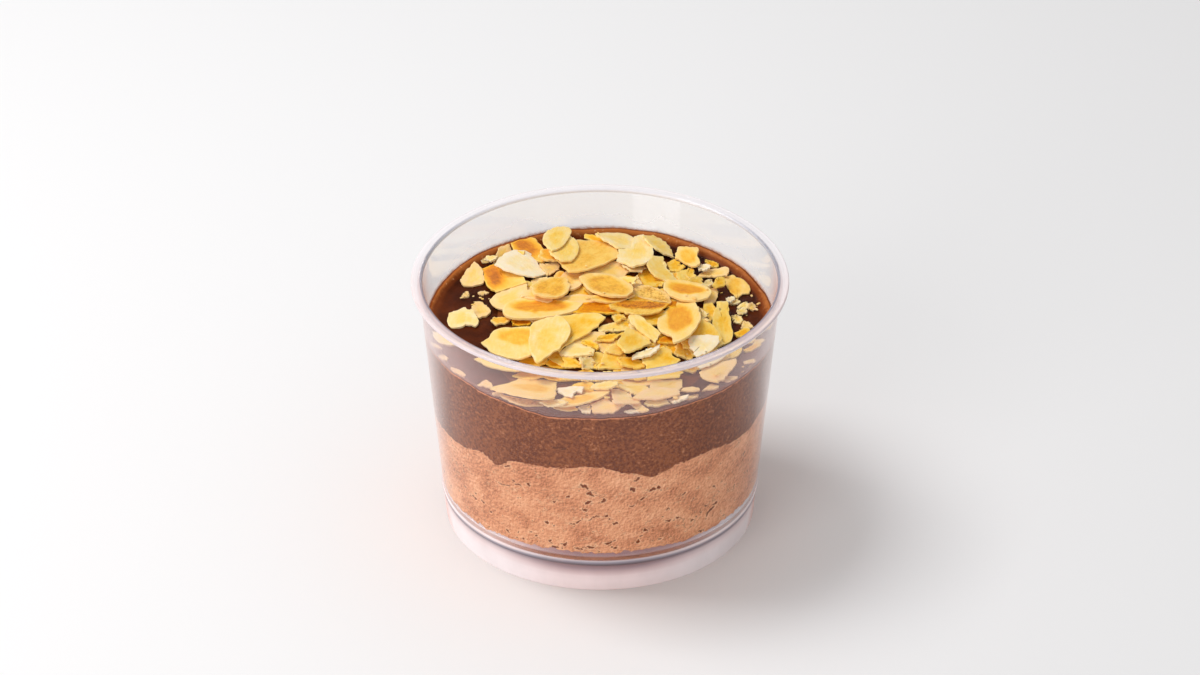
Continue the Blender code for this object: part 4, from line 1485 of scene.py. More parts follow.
UPPER_FLAKES = (
    Slice(Tone.DUSKY, ((-11.3, 26), (-8, 19.3), (-5.5, 19.6), (0, 22.6), (4.6, 26.5), (4.6, 31.5),
          (0, 35), (-6, 35.3))),
    Slice(Tone.BUTTER, ((-13.8, 33), (-11.8, 27), (-10, 25), (-7.9, 25), (-6.3, 27.2), (-5.5, 31.5),
          (-6.5, 36), (-8.2, 38))),
    Slice(Tone.CREAM, ((-1.5, 38.8), (1, 39.4), (6.3, 39), (8.3, 37.3), (8.6, 34.5), (8.1, 31.4),
          (4.8, 31.5))),
    Slice(Tone.CREAM, ((8.6, 36.8), (11.4, 38.2), (13.4, 33), (13.6, 28), (11.5, 23), (8.5, 21.5),
          (4.5, 25.2), (4.8, 30.5), (8.1, 31.8))),
    Slice(Tone.BUTTER, ((10.9, 38.1), (13.6, 38.3), (17, 34.5), (19, 27), (16.3, 29), (12.5, 34))),
    Slice(Tone.WARM_HEART, ((20.4, 31.8), (25, 32), (25.6, 31), (25.1, 28.5), (25.8, 24), (25.3, 22.3),
          (23.5, 22.3), (19.4, 27)), (22.8, 27.4, 3.6, 2.0, 90)),
    Slice(Tone.BUTTER, ((13.4, 27.9), (16.1, 27.7), (17.3, 21.5), (19.7, 15.8), (17.5, 14.7), (14, 18),
          (12, 23))),
    Slice(Tone.STREAKED, ((8.5, 11.6), (10.3, 12.8), (14.5, 11.3), (17.3, 8.3), (18.2, 4.2), (14, 5),
          (9.8, 7), (8.5, 9.2))),
    Slice(Tone.TOASTED, ((2.3, 2.8), (5, 4.8), (10, 5.6), (17.6, 3.8), (14.5, -0.5), (11.5, -1.6),
          (8.5, -1.4), (2.4, 1.8)), (10, 3.3, 7.0, 2.1, 0)),
    Slice(Tone.SPECKLED, ((-17.8, 12), (-15, 15.8), (-12, 17), (-8.8, 16.8), (-7.8, 11.3), (-8.8, 8.6),
          (-11, 7.1), (-14.5, 7.4), (-17, 8.8))),
    Slice(Tone.SPECKLED, ((-5.4, 16.8), (-3.6, 18.8), (3.5, 17), (8.2, 12), (8.3, 9.6), (6.8, 7.3),
          (3.5, 6.7), (-2.8, 10.6))),
    Slice(Tone.HEARTED, ((-24.5, 0.5), (-23.9, 3.2), (-22.4, 5.2), (-19, 6.2), (-12, 5.6), (-4.4, 4.2),
          (-5.5, 1.2), (-10, -1.6), (-16, -3.6), (-22, -3.8), (-24, -1.8)), (-15, 2.5, 7.2, 2.9, 2)),
    Slice(Tone.WARM_HEART, ((-29.7, -15), (-28, -13.2), (-26.3, -9.2), (-23, -7.6), (-18, -7),
          (-16.5, -9), (-17, -21.3), (-20, -23.3), (-23.5, -21.8), (-27.3, -19)),
          (-20.5, -12, 4.6, 4.2, 0)),
    Slice(Tone.YELLOW, ((-10, -1.6), (-5, -0.8), (0, -1.2), (1.6, -2.9), (-2.6, -9.8), (-7.5, -15),
          (-10.4, -19.6))),
    Slice(Tone.BUTTER, ((-16.8, -6), (-14, -3.6), (-11, -2), (-9.6, -2.8), (-7.3, -9.6), (-9.6, -16.5),
          (-15.4, -25), (-17.4, -19.5), (-17.6, -12)), (-13.6, -13.5, 5.0, 2.2, 85)),
    Slice(Tone.CREAM, ((7.3, -4.8), (8.2, -5.6), (12, -13), (7.5, -7.4))),
    Slice(Tone.BUTTER, ((7.4, -1.6), (10.1, -1.7), (12, -5), (15.1, -10.2), (13.8, -15.3),
          (7.1, -2.9))),
    Slice(Tone.YELLOW, ((6.6, -8.6), (8.3, -9.2), (12.1, -13.4), (12.3, -15.4), (7.6, -19.5),
          (6.2, -20), (4, -15.4), (5, -12.5))),
    Slice(Tone.YELLOW, ((15.6, -16.8), (17.5, -18.6), (18, -21), (19.8, -22.4), (19, -26.5),
          (11.5, -27.4), (10.4, -22.2))),
    Slice(Tone.IVORY, ((15.1, -16.4), (9.8, -19.6), (7.7, -21.4), (8, -22.6), (13, -20.2))),
    Slice(Tone.PEACH, ((24, -24.5), (25.4, -29.2), (27.8, -30.9), (30, -30.3), (32.8, -21),
          (32.4, -17.5), (25.5, -18.5))),
    Slice(Tone.IVORY, ((-10.4, -32), (-6.5, -30.5), (-4, -31), (-4.2, -35.4), (-5.6, -34.2),
          (-7, -38.2), (-9.4, -36))),
    Slice(Tone.WARM_HEART, ((-27.4, -36.2), (-21, -30.2), (-19.6, -26.8), (-14, -27), (-10.7, -28.5),
          (-11.2, -40.6), (-14.2, -41.5), (-20, -39.9)), (-16.4, -34.2, 4.2, 2.6, -10)),
    Slice(Tone.PINK, ((7.8, -38.6), (11.6, -33.4), (14.5, -32.7), (18.6, -33.8), (19.6, -37.4),
          (14, -39.6))),
    Slice(Tone.HEARTED, ((16.2, 12.8), (17.2, 14.9), (21, 14.9), (25.2, 13.7), (28, 10.9), (28.2, 8.5),
          (26.9, 6), (24, 5), (20.5, 5.8), (16.6, 9.8)), (21.8, 10.9, 4.6, 2.4, -12)),
    Slice(Tone.IVORY, ((-27, 23.8), (-25, 28.6), (-22.3, 30.8), (-19.1, 30), (-16.6, 27.2), (-16, 24.5),
          (-13.4, 19.3), (-17.2, 16.9), (-21.4, 18.9), (-24.6, 21))),
    Slice(Tone.HEARTED, ((19.8, 5.2), (21.5, 5.6), (24, 4.2), (25.5, -1.8), (24.8, -6), (21, -13.5),
          (18.5, -15.2), (18.2, -12.3), (15.2, -9.8), (14.5, -6.5), (15.1, -2.5), (18.6, 3.2)),
          (20, -3.4, 6.4, 3.2, 87)),
    Slice(Tone.IVORY, ((22, -11.9), (25.5, -11.2), (29.6, -11.6), (29.6, -14.5), (27.5, -18.6),
          (23.8, -21.8), (22.1, -15.5))),
    Slice(Tone.BUTTER, ((-14.8, 36.5), (-14, 40), (-11, 43), (-8.2, 42.4), (-7.6, 41.5), (-8.2, 36.5),
          (-10.8, 31.5), (-12.5, 30.6), (-14, 33))),
)
STRAY_FLAKES = (
    Slice(Tone.PEACH, ((-32.2, 24.8), (-31, 23), (-29.6, 15.8), (-30, 14), (-33, 12.7), (-34.8, 12.8),
          (-35.6, 15.5))),
    Slice(Tone.TAN, ((31.8, 17.4), (33.8, 18), (36.6, 16), (38.3, 12), (38, 9.2), (36.2, 8.6), (35, 6),
          (33.8, 8.8), (32.4, 13)), (34.4, 12.0, 4.0, 1.6, 90)),
    Slice(Tone.PEACH, ((-31.8, 4.6), (-30, 4.7), (-27.6, 0.4), (-28, -1.2), (-30.6, -3.3),
          (-32.6, 1.3))),
    Slice(Tone.CREAM, ((-38.2, -0.8), (-34.1, 2), (-33.5, 1), (-32, 1.2), (-30.6, -5.6), (-31, -6.9),
          (-34, -6.2), (-35.5, -7.6), (-37.5, -7.6), (-38.5, -4))),
    Slice(Tone.GOLD, ((27.1, 25.9), (30, 24.8), (30.7, 23), (29.8, 21.9), (27.8, 22.8))),
    Slice(Tone.PEACH, ((24.9, 16.9), (26.4, 19.8), (32.6, 22.3), (33.2, 20.5), (32.2, 17.8))),
    Slice(Tone.PEACH, ((-26.4, 32.2), (-23.8, 34), (-23.1, 30), (-26.4, 24), (-27.8, 23.8))),
    Slice(Tone.CREAM, ((33.4, -2.2), (34.4, -1.5), (35.6, -1.9), (36.2, -4.2), (35.2, -5.7),
          (33.8, -5))),
    Slice(Tone.PEACH, ((36.2, -4.4), (37.5, -5), (38.7, -7.2), (37.6, -8.5), (35.4, -8))),
    Slice(Tone.PINK, ((24.8, -35.6), (27, -31.5), (29, -34.2), (28.4, -35.5))),
    Slice(Tone.PINK, ((-29.8, -33.8), (-27.6, -28.8), (-26, -32), (-26.2, -34.4))),
    Flake(-29.4, 26.2, 50, 4, 2.8, Tone.CREAM), Flake(36.6, 2.9, 60, 4.2, 2.4, Tone.CREAM),
    Flake(-37.9, -19.3, 75, 4.5, 2.4, Tone.PINK), Flake(-34.4, -27.2, -60, 5.5, 2.4, Tone.PINK),
    Flake(36.0, -20.2, -40, 4, 3, Tone.PINK), Flake(-34.2, 8.4, 75, 2.6, 1.9, Tone.PEACH),
    Flake(35.9, -10.2, 40, 5, 3, Tone.GOLD), Flake(34.0, 4.75, 0, 3.4, 2.6, Tone.CREAM),
    Flake(38.4, 2.9, -80, 4, 2, Tone.PEACH), Flake(33.2, 6.2, 50, 3.2, 2.2, Tone.IVORY),
    Flake(36.0, 0.3, 30, 3.0, 2.2, Tone.CREAM), Flake(-27.9, 26.6, 30, 3.8, 2.6, Tone.CREAM),
    Flake(-39.1, -12.1, 20, 3.2, 2.5, Tone.PINK), Flake(31.5, -30.0, 20, 4, 3.6, Tone.PINK),
    Flake(22.4, -39.0, 30, 3.6, 2, Tone.PINK), Flake(-29.8, 9.4, 20, 2.6, 1.8, Tone.PEACH),
    Flake(-24.8, -37.5, 60, 3.4, 2.2, Tone.PINK),
)


class Bed:
    """Heights of all that has been laid, on a square grid over the cream."""

    REACH = 44.0
    STEP = 0.6
    THICKNESS = 0.9
    SINK = 0.15
    TOP = 0.35
    STEEPEST = 0.5
    MOST_TURNED_AWAY = (-0.5, -0.15)
    FINEST = 0.01
    SIGHT_PLANE = 58.0
    SIGHT_FALL = 1.635
    PASSES = 4
    MARGIN = 3

    def __init__(self, cream: CreamLayer) -> None:
        """Start with the bare cream."""
        reach = np.arange(-self.REACH, self.REACH + self.STEP, self.STEP)
        self.x, self.y = np.meshgrid(reach, reach)
        self.bare = cream.surface(self.x, self.y)
        self.height = self.bare.copy()

    def covered(self, corners: Array) -> Array:
        """Which places lie under a flake.

        Args:
            corners: The flake's corners in order.

        Returns:
            True at each place within them, and at the place nearest their middle.
        """
        inside = np.zeros(self.x.shape, bool)
        for (x, y), (next_x, next_y) in zip(corners, np.roll(corners, -1, axis=0)):
            crossed = (self.y < y) != (self.y < next_y)
            inside ^= crossed & (self.x < x + (self.y - y) * (next_x - x) / ((next_y - y) or 1.0))
        inside[self.cell(*corners.mean(axis=0))] = True
        return inside

    def cell(self, x: Any, y: Any) -> tuple:
        """Row and column of the grid nearest to places over the cream.

        Args:
            x: Places along X.
            y: Places along Y.

        Returns:
            The rows and the columns.
        """
        column = np.clip(np.rint((x + self.REACH) / self.STEP), 0, self.x.shape[1] - 1).astype(int)
        row = np.clip(np.rint((y + self.REACH) / self.STEP), 0, self.x.shape[0] - 1).astype(int)
        return row, column

    def resting_plane(self, covered: Array, x: float, y: float) -> tuple[Array, float]:
        """Slopes of the lowest plane over the bed, and its height at a flake's middle.

        Args:
            covered: Places under the flake.
            x: Middle of the flake along X.
            y: Middle of the flake along Y.

        Returns:
            The slopes along X and Y, and the height.
        """
        run_x, run_y, height = self.x[covered] - x, self.y[covered] - y, self.height[covered]
        slopes, stride, level = np.zeros(2), self.STEEPEST / 2, 0.0
        tries = np.array([(a, b) for a in (0, -1, 1) for b in (0, -1, 1)])
        while stride > self.FINEST:
            trial = np.clip(slopes + stride * tries, self.MOST_TURNED_AWAY, self.STEEPEST)
            levels = np.max(height - trial[:, :1] * run_x - trial[:, 1:] * run_y, axis=1)
            best = int(np.argmin(levels))
            if best == 0:
                stride /= 2
            slopes, level = trial[best], float(levels[best])
        return slopes, level

    def level_at(self, x: Array, y: Array) -> Array:
        """Height of what lies at places over the cream."""
        return self.height[self.cell(x, y)]

    def as_laid(self, seen: Array, slopes: Array) -> Array:
        """Places from a tipped flake's middle without their foreshortening on the sight plane."""
        slope_x, slope_y = self.SIGHT_FALL * slopes
        return np.column_stack([seen[:, 0], (seen[:, 1] - slope_x * seen[:, 0]) / (1 + slope_y)])

    def lay(self, flake: Slice, buried: bool = False) -> tuple[Array, Array]:
        """Drop a flake where it was seen: it tips until it lies on the bed.

        Args:
            flake: The flake.
            buried: Whether what comes later sinks into it.

        Returns:
            The middle of its under side, and its slopes along X and Y.
        """
        x, seen_y = np.mean(flake.corners, axis=0)
        y, slopes = max(seen_y, self.MARGIN - self.REACH), np.zeros(2)
        for _ in range(self.PASSES):
            covered = self.covered(self.as_laid(flake.corners - np.array((x, seen_y)), slopes) + (x, y))
            slopes, level = self.resting_plane(covered, x, y)
            y = seen_y + (self.SIGHT_PLANE - level - self.TOP) * self.SIGHT_FALL
        plane = level + slopes[0] * (self.x - x) + slopes[1] * (self.y - y)
        if not buried:
            self.height[covered] = plane[covered] + self.THICKNESS - self.SINK
        return np.array((x, y, level - self.SINK)), slopes


class FlakeShape:
    """Mesh of one flake: a thin flat slice with a crisp pale edge, a rim and a heart."""

    SIDES = 60
    TOP = (0.25, 0.45, 0.6, 0.72, 0.83, 0.92, 0.97, 1.0)
    UNDER = (1.0, 0.96, 0.5)
    EDGE_DROP = 0.04
    PALE_FROM = 0.97
    PALE = 0.78

    def __init__(self, flake: Slice, bed: Bed, seed: int) -> None:
        """Draw what makes this flake its own.

        Args:
            flake: The flake.
            bed: What it lies on.
            seed: Seed of the draw.
        """
        draw = np.random.default_rng(seed)
        self.flake = flake
        self.bed = bed
        self.middle = np.mean(flake.corners, axis=0)
        edge = flake.outline(self.SIDES, draw) - self.middle
        along, across = edge.T
        self.turn = 0.5 * math.atan2(2 * (along * across).sum(), (along ** 2 - across ** 2).sum())
        self.edge = turned(edge, self.turn)
        self.reach = np.abs(self.edge).max(axis=0)
        self.thickness = draw.uniform(0.38, 0.56)
        size = math.sqrt(self.reach.prod()) / 5
        self.bend = draw.uniform(-0.15, 0.35) * size
        self.dish = draw.uniform(-0.1, 0.2) * size
        self.twist = draw.uniform(-0.3, 0.3) * size
        self.phases = draw.uniform(0, math.tau, 4)
        self.shift = draw.uniform(-50, 50, 3)

    @classmethod
    def sharpen(cls, piece: Piece) -> None:
        """Keep the cut edges crisp.

        Args:
            piece: Mesh made of flakes alone.
        """
        mesh = piece.data
        ends = np.empty(len(mesh.edges) * 2, dtype=np.int32)
        mesh.edges.foreach_get("vertices", ends)
        size = 2 + cls.SIDES * (len(cls.TOP) + len(cls.UNDER))
        ring = (ends.reshape(-1, 2) % size - 2) // cls.SIDES
        first, second = ring.T
        crisp = (first == second) & np.isin(first, (len(cls.TOP) - 1, len(cls.TOP)))
        mesh.attributes.new("sharp_edge", "BOOLEAN", "EDGE").data.foreach_set("value", crisp)

    def cored(self, spot: Array, share: float) -> Array:
        """How far places on the flake lie within its heart.

        Args:
            spot: Places along and across the flake.
            share: How far out their ring lies.

        Returns:
            One in the heart, nought at the rim.
        """
        turn = np.arctan2(spot[:, 1], spot[:, 0])
        wobble = 1 + 0.08 * np.sin(3 * turn + self.phases[0]) + 0.05 * np.sin(5 * turn + self.phases[1])
        if not self.flake.heart:
            reach = self.flake.tone.value.heart_reach
            return 1 - eased(share * wobble, reach - 0.2, reach + 0.1)
        x, y, half_length, half_width, heart_turn = self.flake.heart
        place = turned(spot, -self.turn) + self.middle - (x, y)
        place = turned(place, math.radians(heart_turn)) / (half_length, half_width)
        soft = self.flake.tone.value.soft
        return 1 - eased(np.hypot(*place.T) * wobble, 1 - soft, 1 + soft)

    def body(self, middle: Array, slopes: Array) -> tuple[Array, Array, Array]:
        """Place the flake on its plane.

        Args:
            middle: Middle of its under side.
            slopes: Slopes of its plane along X and Y.

        Returns:
            Its points, its toasting on each point, and its own coordinates for the grain.
        """
        toasting = self.flake.tone.value
        rows, levels, toasts = [], [], []
        for top, shares in ((True, self.TOP), (False, self.UNDER)):
            for share in shares:
                spot = self.edge * share
                cored = self.cored(spot, share)
                half = self.thickness / 2 - (self.EDGE_DROP if share == 1.0 else 0.0)
                lift = half + toasting.raised * (1 - cored) if top else -half
                along, across = (spot / self.reach).T
                curl = self.bend * along ** 2 + self.dish * across ** 2 + self.twist * along * across
                uneven = 0.05 * np.sin(2.1 * spot[:, 0] + self.phases[2]) \
                    * np.sin(1.7 * spot[:, 1] + self.phases[3])
                rows.append(spot)
                levels.append(self.thickness / 2 + lift + curl + uneven)
                tint = toasting.rim + (toasting.heart - toasting.rim) * cored
                if share >= self.PALE_FROM:
                    tint = tint * self.PALE
                toasts.append(np.column_stack([tint, toasting.browned * (0.25 + 0.75 * cored),
                                               toasting.blush * (1 - 0.5 * cored)]))
        flat, level, toast = np.concatenate(rows), np.concatenate(levels), np.concatenate(toasts)
        ends = np.array([np.mean(rows[0], axis=0), np.mean(rows[-1], axis=0)])
        flat = np.concatenate([ends, flat])
        level = np.concatenate([[np.mean(levels[0])], [np.mean(levels[-1])], level])
        toast = np.concatenate([[toasts[0].mean(axis=0)], [toasts[-1].mean(axis=0)], toast])
        return self.placed(flat, level, middle, slopes), toast, np.column_stack([flat, level]) + self.shift

    def placed(self, flat: Array, level: Array, middle: Array,
               slopes: Array) -> Array:
        """Carry the flake's own places to the cup.

        Args:
            flat: Places along and across the flake.
            level: Heights over its under side.
            middle: Middle of its under side.
            slopes: Slopes of its plane.

        Returns:
            Places in the cup.
        """
        normal = np.array((-slopes[0], -slopes[1], 1.0))
        normal /= np.linalg.norm(normal)
        ground = self.bed.as_laid(turned(flat, -self.turn), slopes)
        return middle + np.column_stack([ground, ground @ slopes]) + level[:, None] * normal


class Almonds:
    """Lays flakes one after another and joins them into pieces."""

    PUSH = 1.8
    CLEARANCE = 0.05

    def __init__(self, cup: CupShell, bed: Bed, material: bpy.types.Material) -> None:
        """Work over this bed.

        Args:
            cup: The cup that holds them.
            bed: What they lie on.
            material: What covers them.
        """
        self.cup = cup
        self.bed = bed
        self.material = material

    def held_in(self, points: Array) -> Array:
        """Push a flake in from the wall, and bend what would still pass it.

        Args:
            points: Places in the cup.

        Returns:
            The places, none past the wall.
        """
        reach = self.cup.inner(points[:, 2]) - self.CLEARANCE
        radius = np.hypot(points[:, 0], points[:, 1])
        worst = np.argmax(radius - reach)
        push = np.clip(radius[worst] - reach[worst], 0.0, self.PUSH)
        points = points - np.append(points[worst, :2] * push / radius[worst], 0.0)
        share = np.minimum(1.0, reach / np.hypot(points[:, 0], points[:, 1]))
        return points * np.column_stack([share, share, np.ones(len(share))])

    def joined(self, name: str, flakes: list[Flake | Slice], seed: int, buried: int = 0) -> Piece:
        """Lay flakes and join them.

        Args:
            name: Name of the piece.
            flakes: The flakes, from the lowest up.
            seed: Seed of the first flake's draw.
            buried: How many of the first are sunk into by the rest.

        Returns:
            One mesh of them all.
        """
        faces = np.array([face + face[-1:] * (4 - len(face)) for face in
                          ring_faces(FlakeShape.SIDES, len(FlakeShape.TOP) + len(FlakeShape.UNDER))])
        points, toasts, grains, all_faces, offset = [], [], [], [], 0
        for index, flake in enumerate(flakes):
            traced = flake.traced(seed + index)
            middle, slopes = self.bed.lay(traced, index < buried)
            placed, toast, grain = FlakeShape(traced, self.bed, seed + index).body(middle, slopes)
            points.append(self.held_in(placed))
            toasts.append(toast)
            grains.append(grain)
            all_faces.append(faces + offset)
            offset += len(placed)
        quads = np.concatenate(all_faces).tolist()
        mesh_faces = [face[:3] if face[2] == face[3] else face for face in quads]
        if signed_volume(points[0], [f for f in mesh_faces if max(f) < len(points[0])]) < 0:
            mesh_faces = [face[::-1] for face in mesh_faces]
        piece = mesh_object(name, np.concatenate(points), mesh_faces)
        attach(piece, "toast", np.concatenate(toasts))
        attach(piece, "grain", np.concatenate(grains))
        piece.data.shade_smooth()
        FlakeShape.sharpen(piece)
        return piece


@dataclass(frozen=True)
class Strewing:
    """Flakes strewn evenly over the mound, of which little shows.

    The reach is a share of the mound's, the start an angle in radians, and the slimness a flake's
    width as a share of its length.
    """

    seed: int
    count: int
    reach: float
    start: float
    lengths: tuple[float, float]
    slimness: float
    form: Form
    tones: tuple[Tone, ...]

    GOLDEN_ANGLE = math.radians(137.508)

    def flakes(self, centre: tuple, half_width: float, half_depth: float) -> list[Flake]:
        """Strew the flakes.

        Args:
            centre: Middle of the mound.
            half_width: Its reach along X.
            half_depth: Its reach along Y.

        Returns:
            The flakes, from the middle outwards.
        """
        draw = random.Random(self.seed)
        flakes = []
        for index in range(self.count):
            share = self.reach * math.sqrt((index + 0.5) / self.count)
            turn = index * self.GOLDEN_ANGLE + self.start
            length = draw.uniform(*self.lengths)
            x = centre[0] + share * half_width * math.cos(turn)
            y = centre[1] + share * half_depth * math.sin(turn)
            tone = self.tones[index % len(self.tones)]
            flakes.append(Flake(x, y, draw.uniform(0, 180), length, self.slimness * length, tone, self.form))
        return flakes


@dataclass
class AlmondHeap:
    """Heap of flakes over a low mound of chocolate."""

    cream: CreamLayer
    bed: Bed
    centre: tuple = (1.0, -1.0)
    half_width: float = 28.5
    half_depth: float = 40.5
    edge: float = 0.5
    rise: float = 1.9
    gap: float = 0.32
    sides: int = 160
    seed: int = 100
    under: Strewing = Strewing(11, 16, 0.92, 0.0, (9.0, 13.0), 0.5, Form.OVAL,
                               (Tone.GOLD, Tone.YELLOW, Tone.PEACH, Tone.ORANGE))
    buried: Strewing = Strewing(27, 34, 0.9, 1.0, (6.5, 10.5), 0.62, Form.CHIP,
                                (Tone.GOLD, Tone.TAN, Tone.YELLOW, Tone.ORANGE, Tone.PEACH))

    def share(self, x: Any, y: Any) -> Any:
        """Distance from the heap's middle as a share of its reach."""
        return np.hypot((x - self.centre[0]) / self.half_width, (y - self.centre[1]) / self.half_depth)

    def core_top(self, x: Any, y: Any) -> Any:
        """Height of the mound's top at places over the cream."""
        dome = np.clip(1 - self.share(x, y) ** 2, 0, 1)
        return self.cream.surface(x, y) + self.gap + self.edge + self.rise * dome

    def build(self, almonds: Almonds) -> list[Piece]:
        """Make the mound and the flakes.

        Args:
            almonds: What lays the flakes.

        Returns:
            The finished pieces.
        """
        bed = self.bed
        lying_apart = bed.height > bed.bare + self.gap
        bed.height += self.gap + bed.SINK
        bed.height[lying_apart] += self.gap
        on_core = self.share(bed.x, bed.y) <= 1.0
        bed.height[on_core] = np.maximum(bed.height, self.core_top(bed.x, bed.y))[on_core]
        mound = self.mound()
        buried, under = (strewing.flakes(self.centre, self.half_width, self.half_depth)
                         for strewing in (self.buried, self.under))
        laid = [*buried, *under, *LOWER_FLAKES, *SHARDS, *UPPER_FLAKES]
        heap = almonds.joined("almond_flakes", laid, self.seed, len(buried))
        settle_piece(heap, [almonds.material], "almond", "almond_heap")
        return [mound, heap]

    def mound(self) -> Piece:
        """Make the low mound of chocolate under the flakes.

        Returns:
            The finished piece.
        """
        turn = np.arange(self.sides) * math.tau / self.sides
        body = Body(self.sides)
        lumps = np.random.default_rng(4).uniform(0, math.tau, 2)
        for top, shares in ((False, (0.4, 0.8, 1.0)), (True, np.linspace(1.0, 0.04, 30))):
            for share in shares:
                x = self.centre[0] + share * self.half_width * np.cos(turn)
                y = self.centre[1] + share * self.half_depth * np.sin(turn)
                height = self.cream.surface(x, y) - 0.4
                if top:
                    lumpy = 0.25 * np.sin(0.9 * x + lumps[0]) * np.sin(0.8 * y + lumps[1])
                    dome = np.clip(1 - share ** 2, 0, 1)
                    raised = (self.edge + self.rise * dome) * (1 - bell(1 - share, 0.05))
                    height = height + raised + lumpy * dome
                points = np.column_stack([x, y, height])
                body.ring(points, np.zeros((self.sides, 3)))
        piece = body.piece("chocolate_mound", "cream")
        # A lighter copy of the open cream: painted light that lifts the shade in the gaps between the
        # flakes.
        painted_lighter_cream = OpenCreamFinish("cream_painted_lighter", deep=srgb(96, 46, 16), body=srgb(140, 78, 34))
        settle_piece(piece, [painted_lighter_cream.material()], "chocolate_cream")
        return piece


@dataclass(frozen=True)
class CrumbPatch:
    """Patch of crumbs: its middle on the sight plane, its spread, their number and largest radius."""

    x: float
    y: float
    spread: float
    count: int
    largest: float


@dataclass
class Crumbs:
    """Almond crumbs strewn beside and between the flakes."""

    cup: CupShell
    bed: Bed
    material: bpy.types.Material
    seed: int = 6
    roughness: float = 0.45
    tilt: float = 0.4
    sizes: tuple = ((0.7, 0.5, 0.22), (1.4, 0.9, 0.4))
    toasts: tuple = ((0.15, 0.0, 0.2), (0.5, 0.1, 0.6))
    patches: tuple = (
        CrumbPatch(36.0, -4.0, 6.0, 5, 0.9), CrumbPatch(34.8, 3.6, 5.0, 3, 0.8),
        CrumbPatch(33.5, -24.5, 5.5, 5, 1.0), CrumbPatch(-32.0, 6.5, 3.6, 8, 0.8),
        CrumbPatch(-2.0, -20.0, 8.0, 9, 1.0), CrumbPatch(4.0, -42.0, 12.0, 8, 1.0),
        CrumbPatch(26.5, 15.0, 6.0, 5, 0.9), CrumbPatch(26.0, -29.0, 8.0, 8, 1.0),
        CrumbPatch(2.0, 16.0, 14.0, 5, 0.7), CrumbPatch(-14.0, -44.0, 7.0, 6, 0.9))

    def strewn(self) -> tuple[Array, Array]:
        """Where the crumbs lie and how large they are.

        Returns:
            Their middles and their radii.
        """
        draw = np.random.default_rng(self.seed)
        seen, sizes = [], []
        for patch in self.patches:
            seen.append(draw.normal((patch.x, patch.y), patch.spread * 0.6, (patch.count, 2)))
            sizes.append(patch.largest * draw.uniform(0.35, 1.0, patch.count) ** 1.5)
        x, y_seen, size = *np.concatenate(seen).T, np.concatenate(sizes)
        y = y_seen
        for _ in range(self.bed.PASSES):
            y = y_seen + (self.bed.SIGHT_PLANE - self.bed.level_at(x, y)) * self.bed.SIGHT_FALL
        height = self.bed.level_at(x, y) + 0.25 * size
        within = np.hypot(x, y) < self.cup.inner(height) - size - 0.1
        return np.column_stack([x, y, height])[within], size[within]

    def scatter_tree(self) -> bpy.types.NodeTree:
        """Geometry nodes that put a rough crumb on every point.

        Returns:
            The node group, with inputs for the points, the roughness, the seed and the material.
        """
        tree, sheet, given = new_tree(
            "crumbs", Places="Geometry", Roughness="Float", Seed="Int", Finish="Material")

        def drawn(low: tuple, high: tuple) -> Socket:
            """Random vector of its own for each crumb."""
            return sheet.add("FunctionNodeRandomValue", {"data_type": "FLOAT_VECTOR"}, {
                0: low, 1: high, "Seed": given["Seed"]}).outputs[0]

        size = sheet.add("GeometryNodeInputNamedAttribute", {"data_type": "FLOAT"}, {"Name": "size"})
        ball = sheet.add("GeometryNodeMeshIcoSphere", {}, {"Radius": 1.0, "Subdivisions": 1})
        placed = sheet.add("GeometryNodeInstanceOnPoints", {}, {
            "Points": given["Places"], "Instance": ball.outputs["Mesh"],
            "Rotation": drawn((-self.tilt, -self.tilt, 0.0), (self.tilt, self.tilt, math.tau)),
            "Scale": sheet.scaled(drawn(*self.sizes), size.outputs[0])})
        tinted = sheet.stored(placed.outputs[0], "toast", drawn(*self.toasts), "INSTANCE")
        real = sheet.add("GeometryNodeRealizeInstances", {}, {"Geometry": tinted})
        where = sheet.add("GeometryNodeInputPosition").outputs[0]
        local = sheet.scaled(where, 1 / MM)
        lumps = sheet.add("ShaderNodeTexNoise", {}, {"Vector": local, "Scale": 1.1, "Detail": 2.0})
        centred = sheet.add("ShaderNodeVectorMath", {"operation": "SUBTRACT"}, {
            0: lumps.outputs["Color"], 1: (0.5, 0.5, 0.5)})
        rough = sheet.add("GeometryNodeSetPosition", {}, {
            "Geometry": real.outputs[0], "Offset": sheet.scaled(centred.outputs[0], given["Roughness"])})
        sheet.give_out(sheet.stored(rough.outputs[0], "grain", local, "POINT"), given["Finish"])
        return tree

    def build(self) -> Piece:
        """Make the crumbs.

        Returns:
            The finished piece.
        """
        places, radii = self.strewn()
        points = mesh_object("almond_crumbs", places, [])
        attach(points, "size", radii * MM)
        run_tree(points, self.scatter_tree(), {
            "Roughness": self.roughness * MM, "Seed": self.seed, "Finish": self.material})
        settle_piece(points, [self.material], "almond")
        return points


# ---------------- studio


@dataclass(frozen=True)
class SoftBox:
    """Square lamp that faces the cup: where it hangs and its side, in metres, and its power in watts."""

    name: str
    place: tuple
    side: float
    power: float


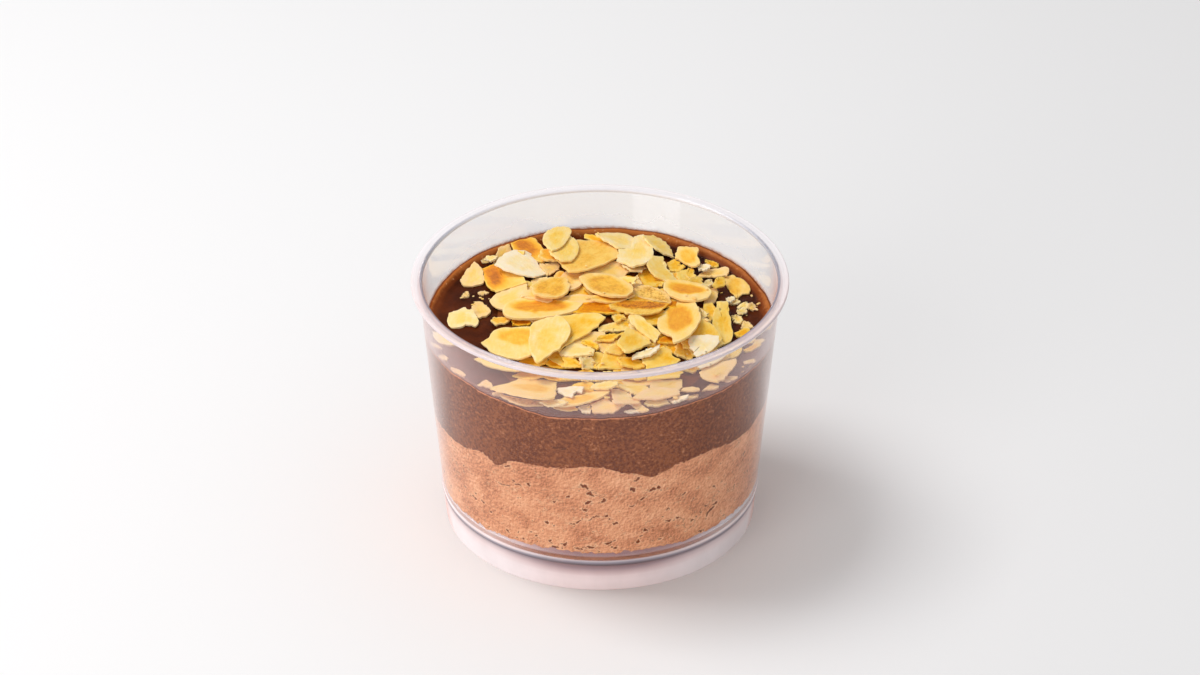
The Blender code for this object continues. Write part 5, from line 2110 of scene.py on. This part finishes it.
@dataclass
class Studio:
    """Pale floor, soft light and the camera."""

    floor_reach: float = 3000.0
    target_height: float = 50.29
    elevation: float = 31.46
    distance: float = 1191.0
    lens: float = 141.2
    sensor_width: float = 36.0
    floor_sides: int = 96
    floor_drop: float = 0.02
    sky_strength: float = 0.52
    sky_colour: tuple = (1.0, 0.995, 0.995, 1.0)
    lamp_colour: tuple = (1.0, 0.99, 0.98)
    lamps: tuple = (SoftBox("key", (-0.5, 0.15, 0.8), 0.45, 5.1),
                    SoftBox("side", (-0.62, -0.85, 0.42), 0.6, 3.5))

    def floor(self) -> None:
        """Lay the floor."""
        turn = np.arange(self.floor_sides) * math.tau / self.floor_sides
        points = np.column_stack([np.cos(turn), np.sin(turn), 0 * turn]) * self.floor_reach
        points[:, 2] = -self.floor_drop
        floor = mesh_object("floor", points, [list(range(self.floor_sides))])
        floor.data.materials.append(FloorFinish("pale_floor").material())

    def sky(self) -> None:
        """Surround everything with soft pale light."""
        world = bpy.data.worlds.new("pale_room")
        bpy.context.scene.world = world
        world.use_nodes = True
        world.node_tree.nodes.clear()
        sheet = Sheet(world.node_tree)
        values = {"Color": self.sky_colour, "Strength": self.sky_strength}
        glow = sheet.add("ShaderNodeBackground", {}, values)
        sheet.add("ShaderNodeOutputWorld", {}, {"Surface": glow.outputs[0]})

    def lamp(self, box: SoftBox) -> None:
        """Hang a soft box.

        Args:
            box: The soft box.
        """
        data = bpy.data.lights.new(box.name, "AREA")
        data.shape = "RECTANGLE"
        data.size = data.size_y = box.side
        data.energy = box.power
        data.color = self.lamp_colour
        lamp = bpy.data.objects.new(box.name, data)
        bpy.context.scene.collection.objects.link(lamp)
        lamp.location = box.place
        aim = Vector((0.0, 0.0, self.target_height * MM)) - lamp.location
        lamp.rotation_euler = aim.to_track_quat("-Z", "Y").to_euler()

    def camera(self) -> None:
        """Set up the camera."""
        data = bpy.data.cameras.new("camera")
        data.lens = self.lens
        data.sensor_width = self.sensor_width
        camera = bpy.data.objects.new("camera", data)
        bpy.context.scene.collection.objects.link(camera)
        rise = math.radians(self.elevation)
        camera.location = (0.0, -self.distance * math.cos(rise) * MM,
                           (self.target_height + self.distance * math.sin(rise)) * MM)
        camera.rotation_euler = (math.pi / 2 - rise, 0.0, 0.0)
        bpy.context.scene.camera = camera

    def build(self) -> None:
        """Set up the studio."""
        self.floor()
        self.sky()
        for box in self.lamps:
            self.lamp(box)
        self.camera()
        bpy.context.scene.view_settings.view_transform = "Standard"


def main() -> None:
    """Build every piece in order."""
    logging.basicConfig(level=logging.INFO, format="%(name)s %(message)s")
    Studio().build()
    cup = CupShell()
    seam = Seam()
    cup.build()
    MousseLayer(cup, seam).build()
    cream = CreamLayer(cup, seam)
    cream.build()
    bed = Bed(cream)
    almonds = Almonds(cup, bed, AlmondFinish("toasted_almond").material())
    strays = almonds.joined("stray_flakes", list(STRAY_FLAKES), STRAY_SEED)
    settle_piece(strays, [almonds.material], "almond")
    AlmondHeap(cream, bed).build(almonds)
    Crumbs(cup, bed, almonds.material).build()


if __name__ == "__main__":
    main()
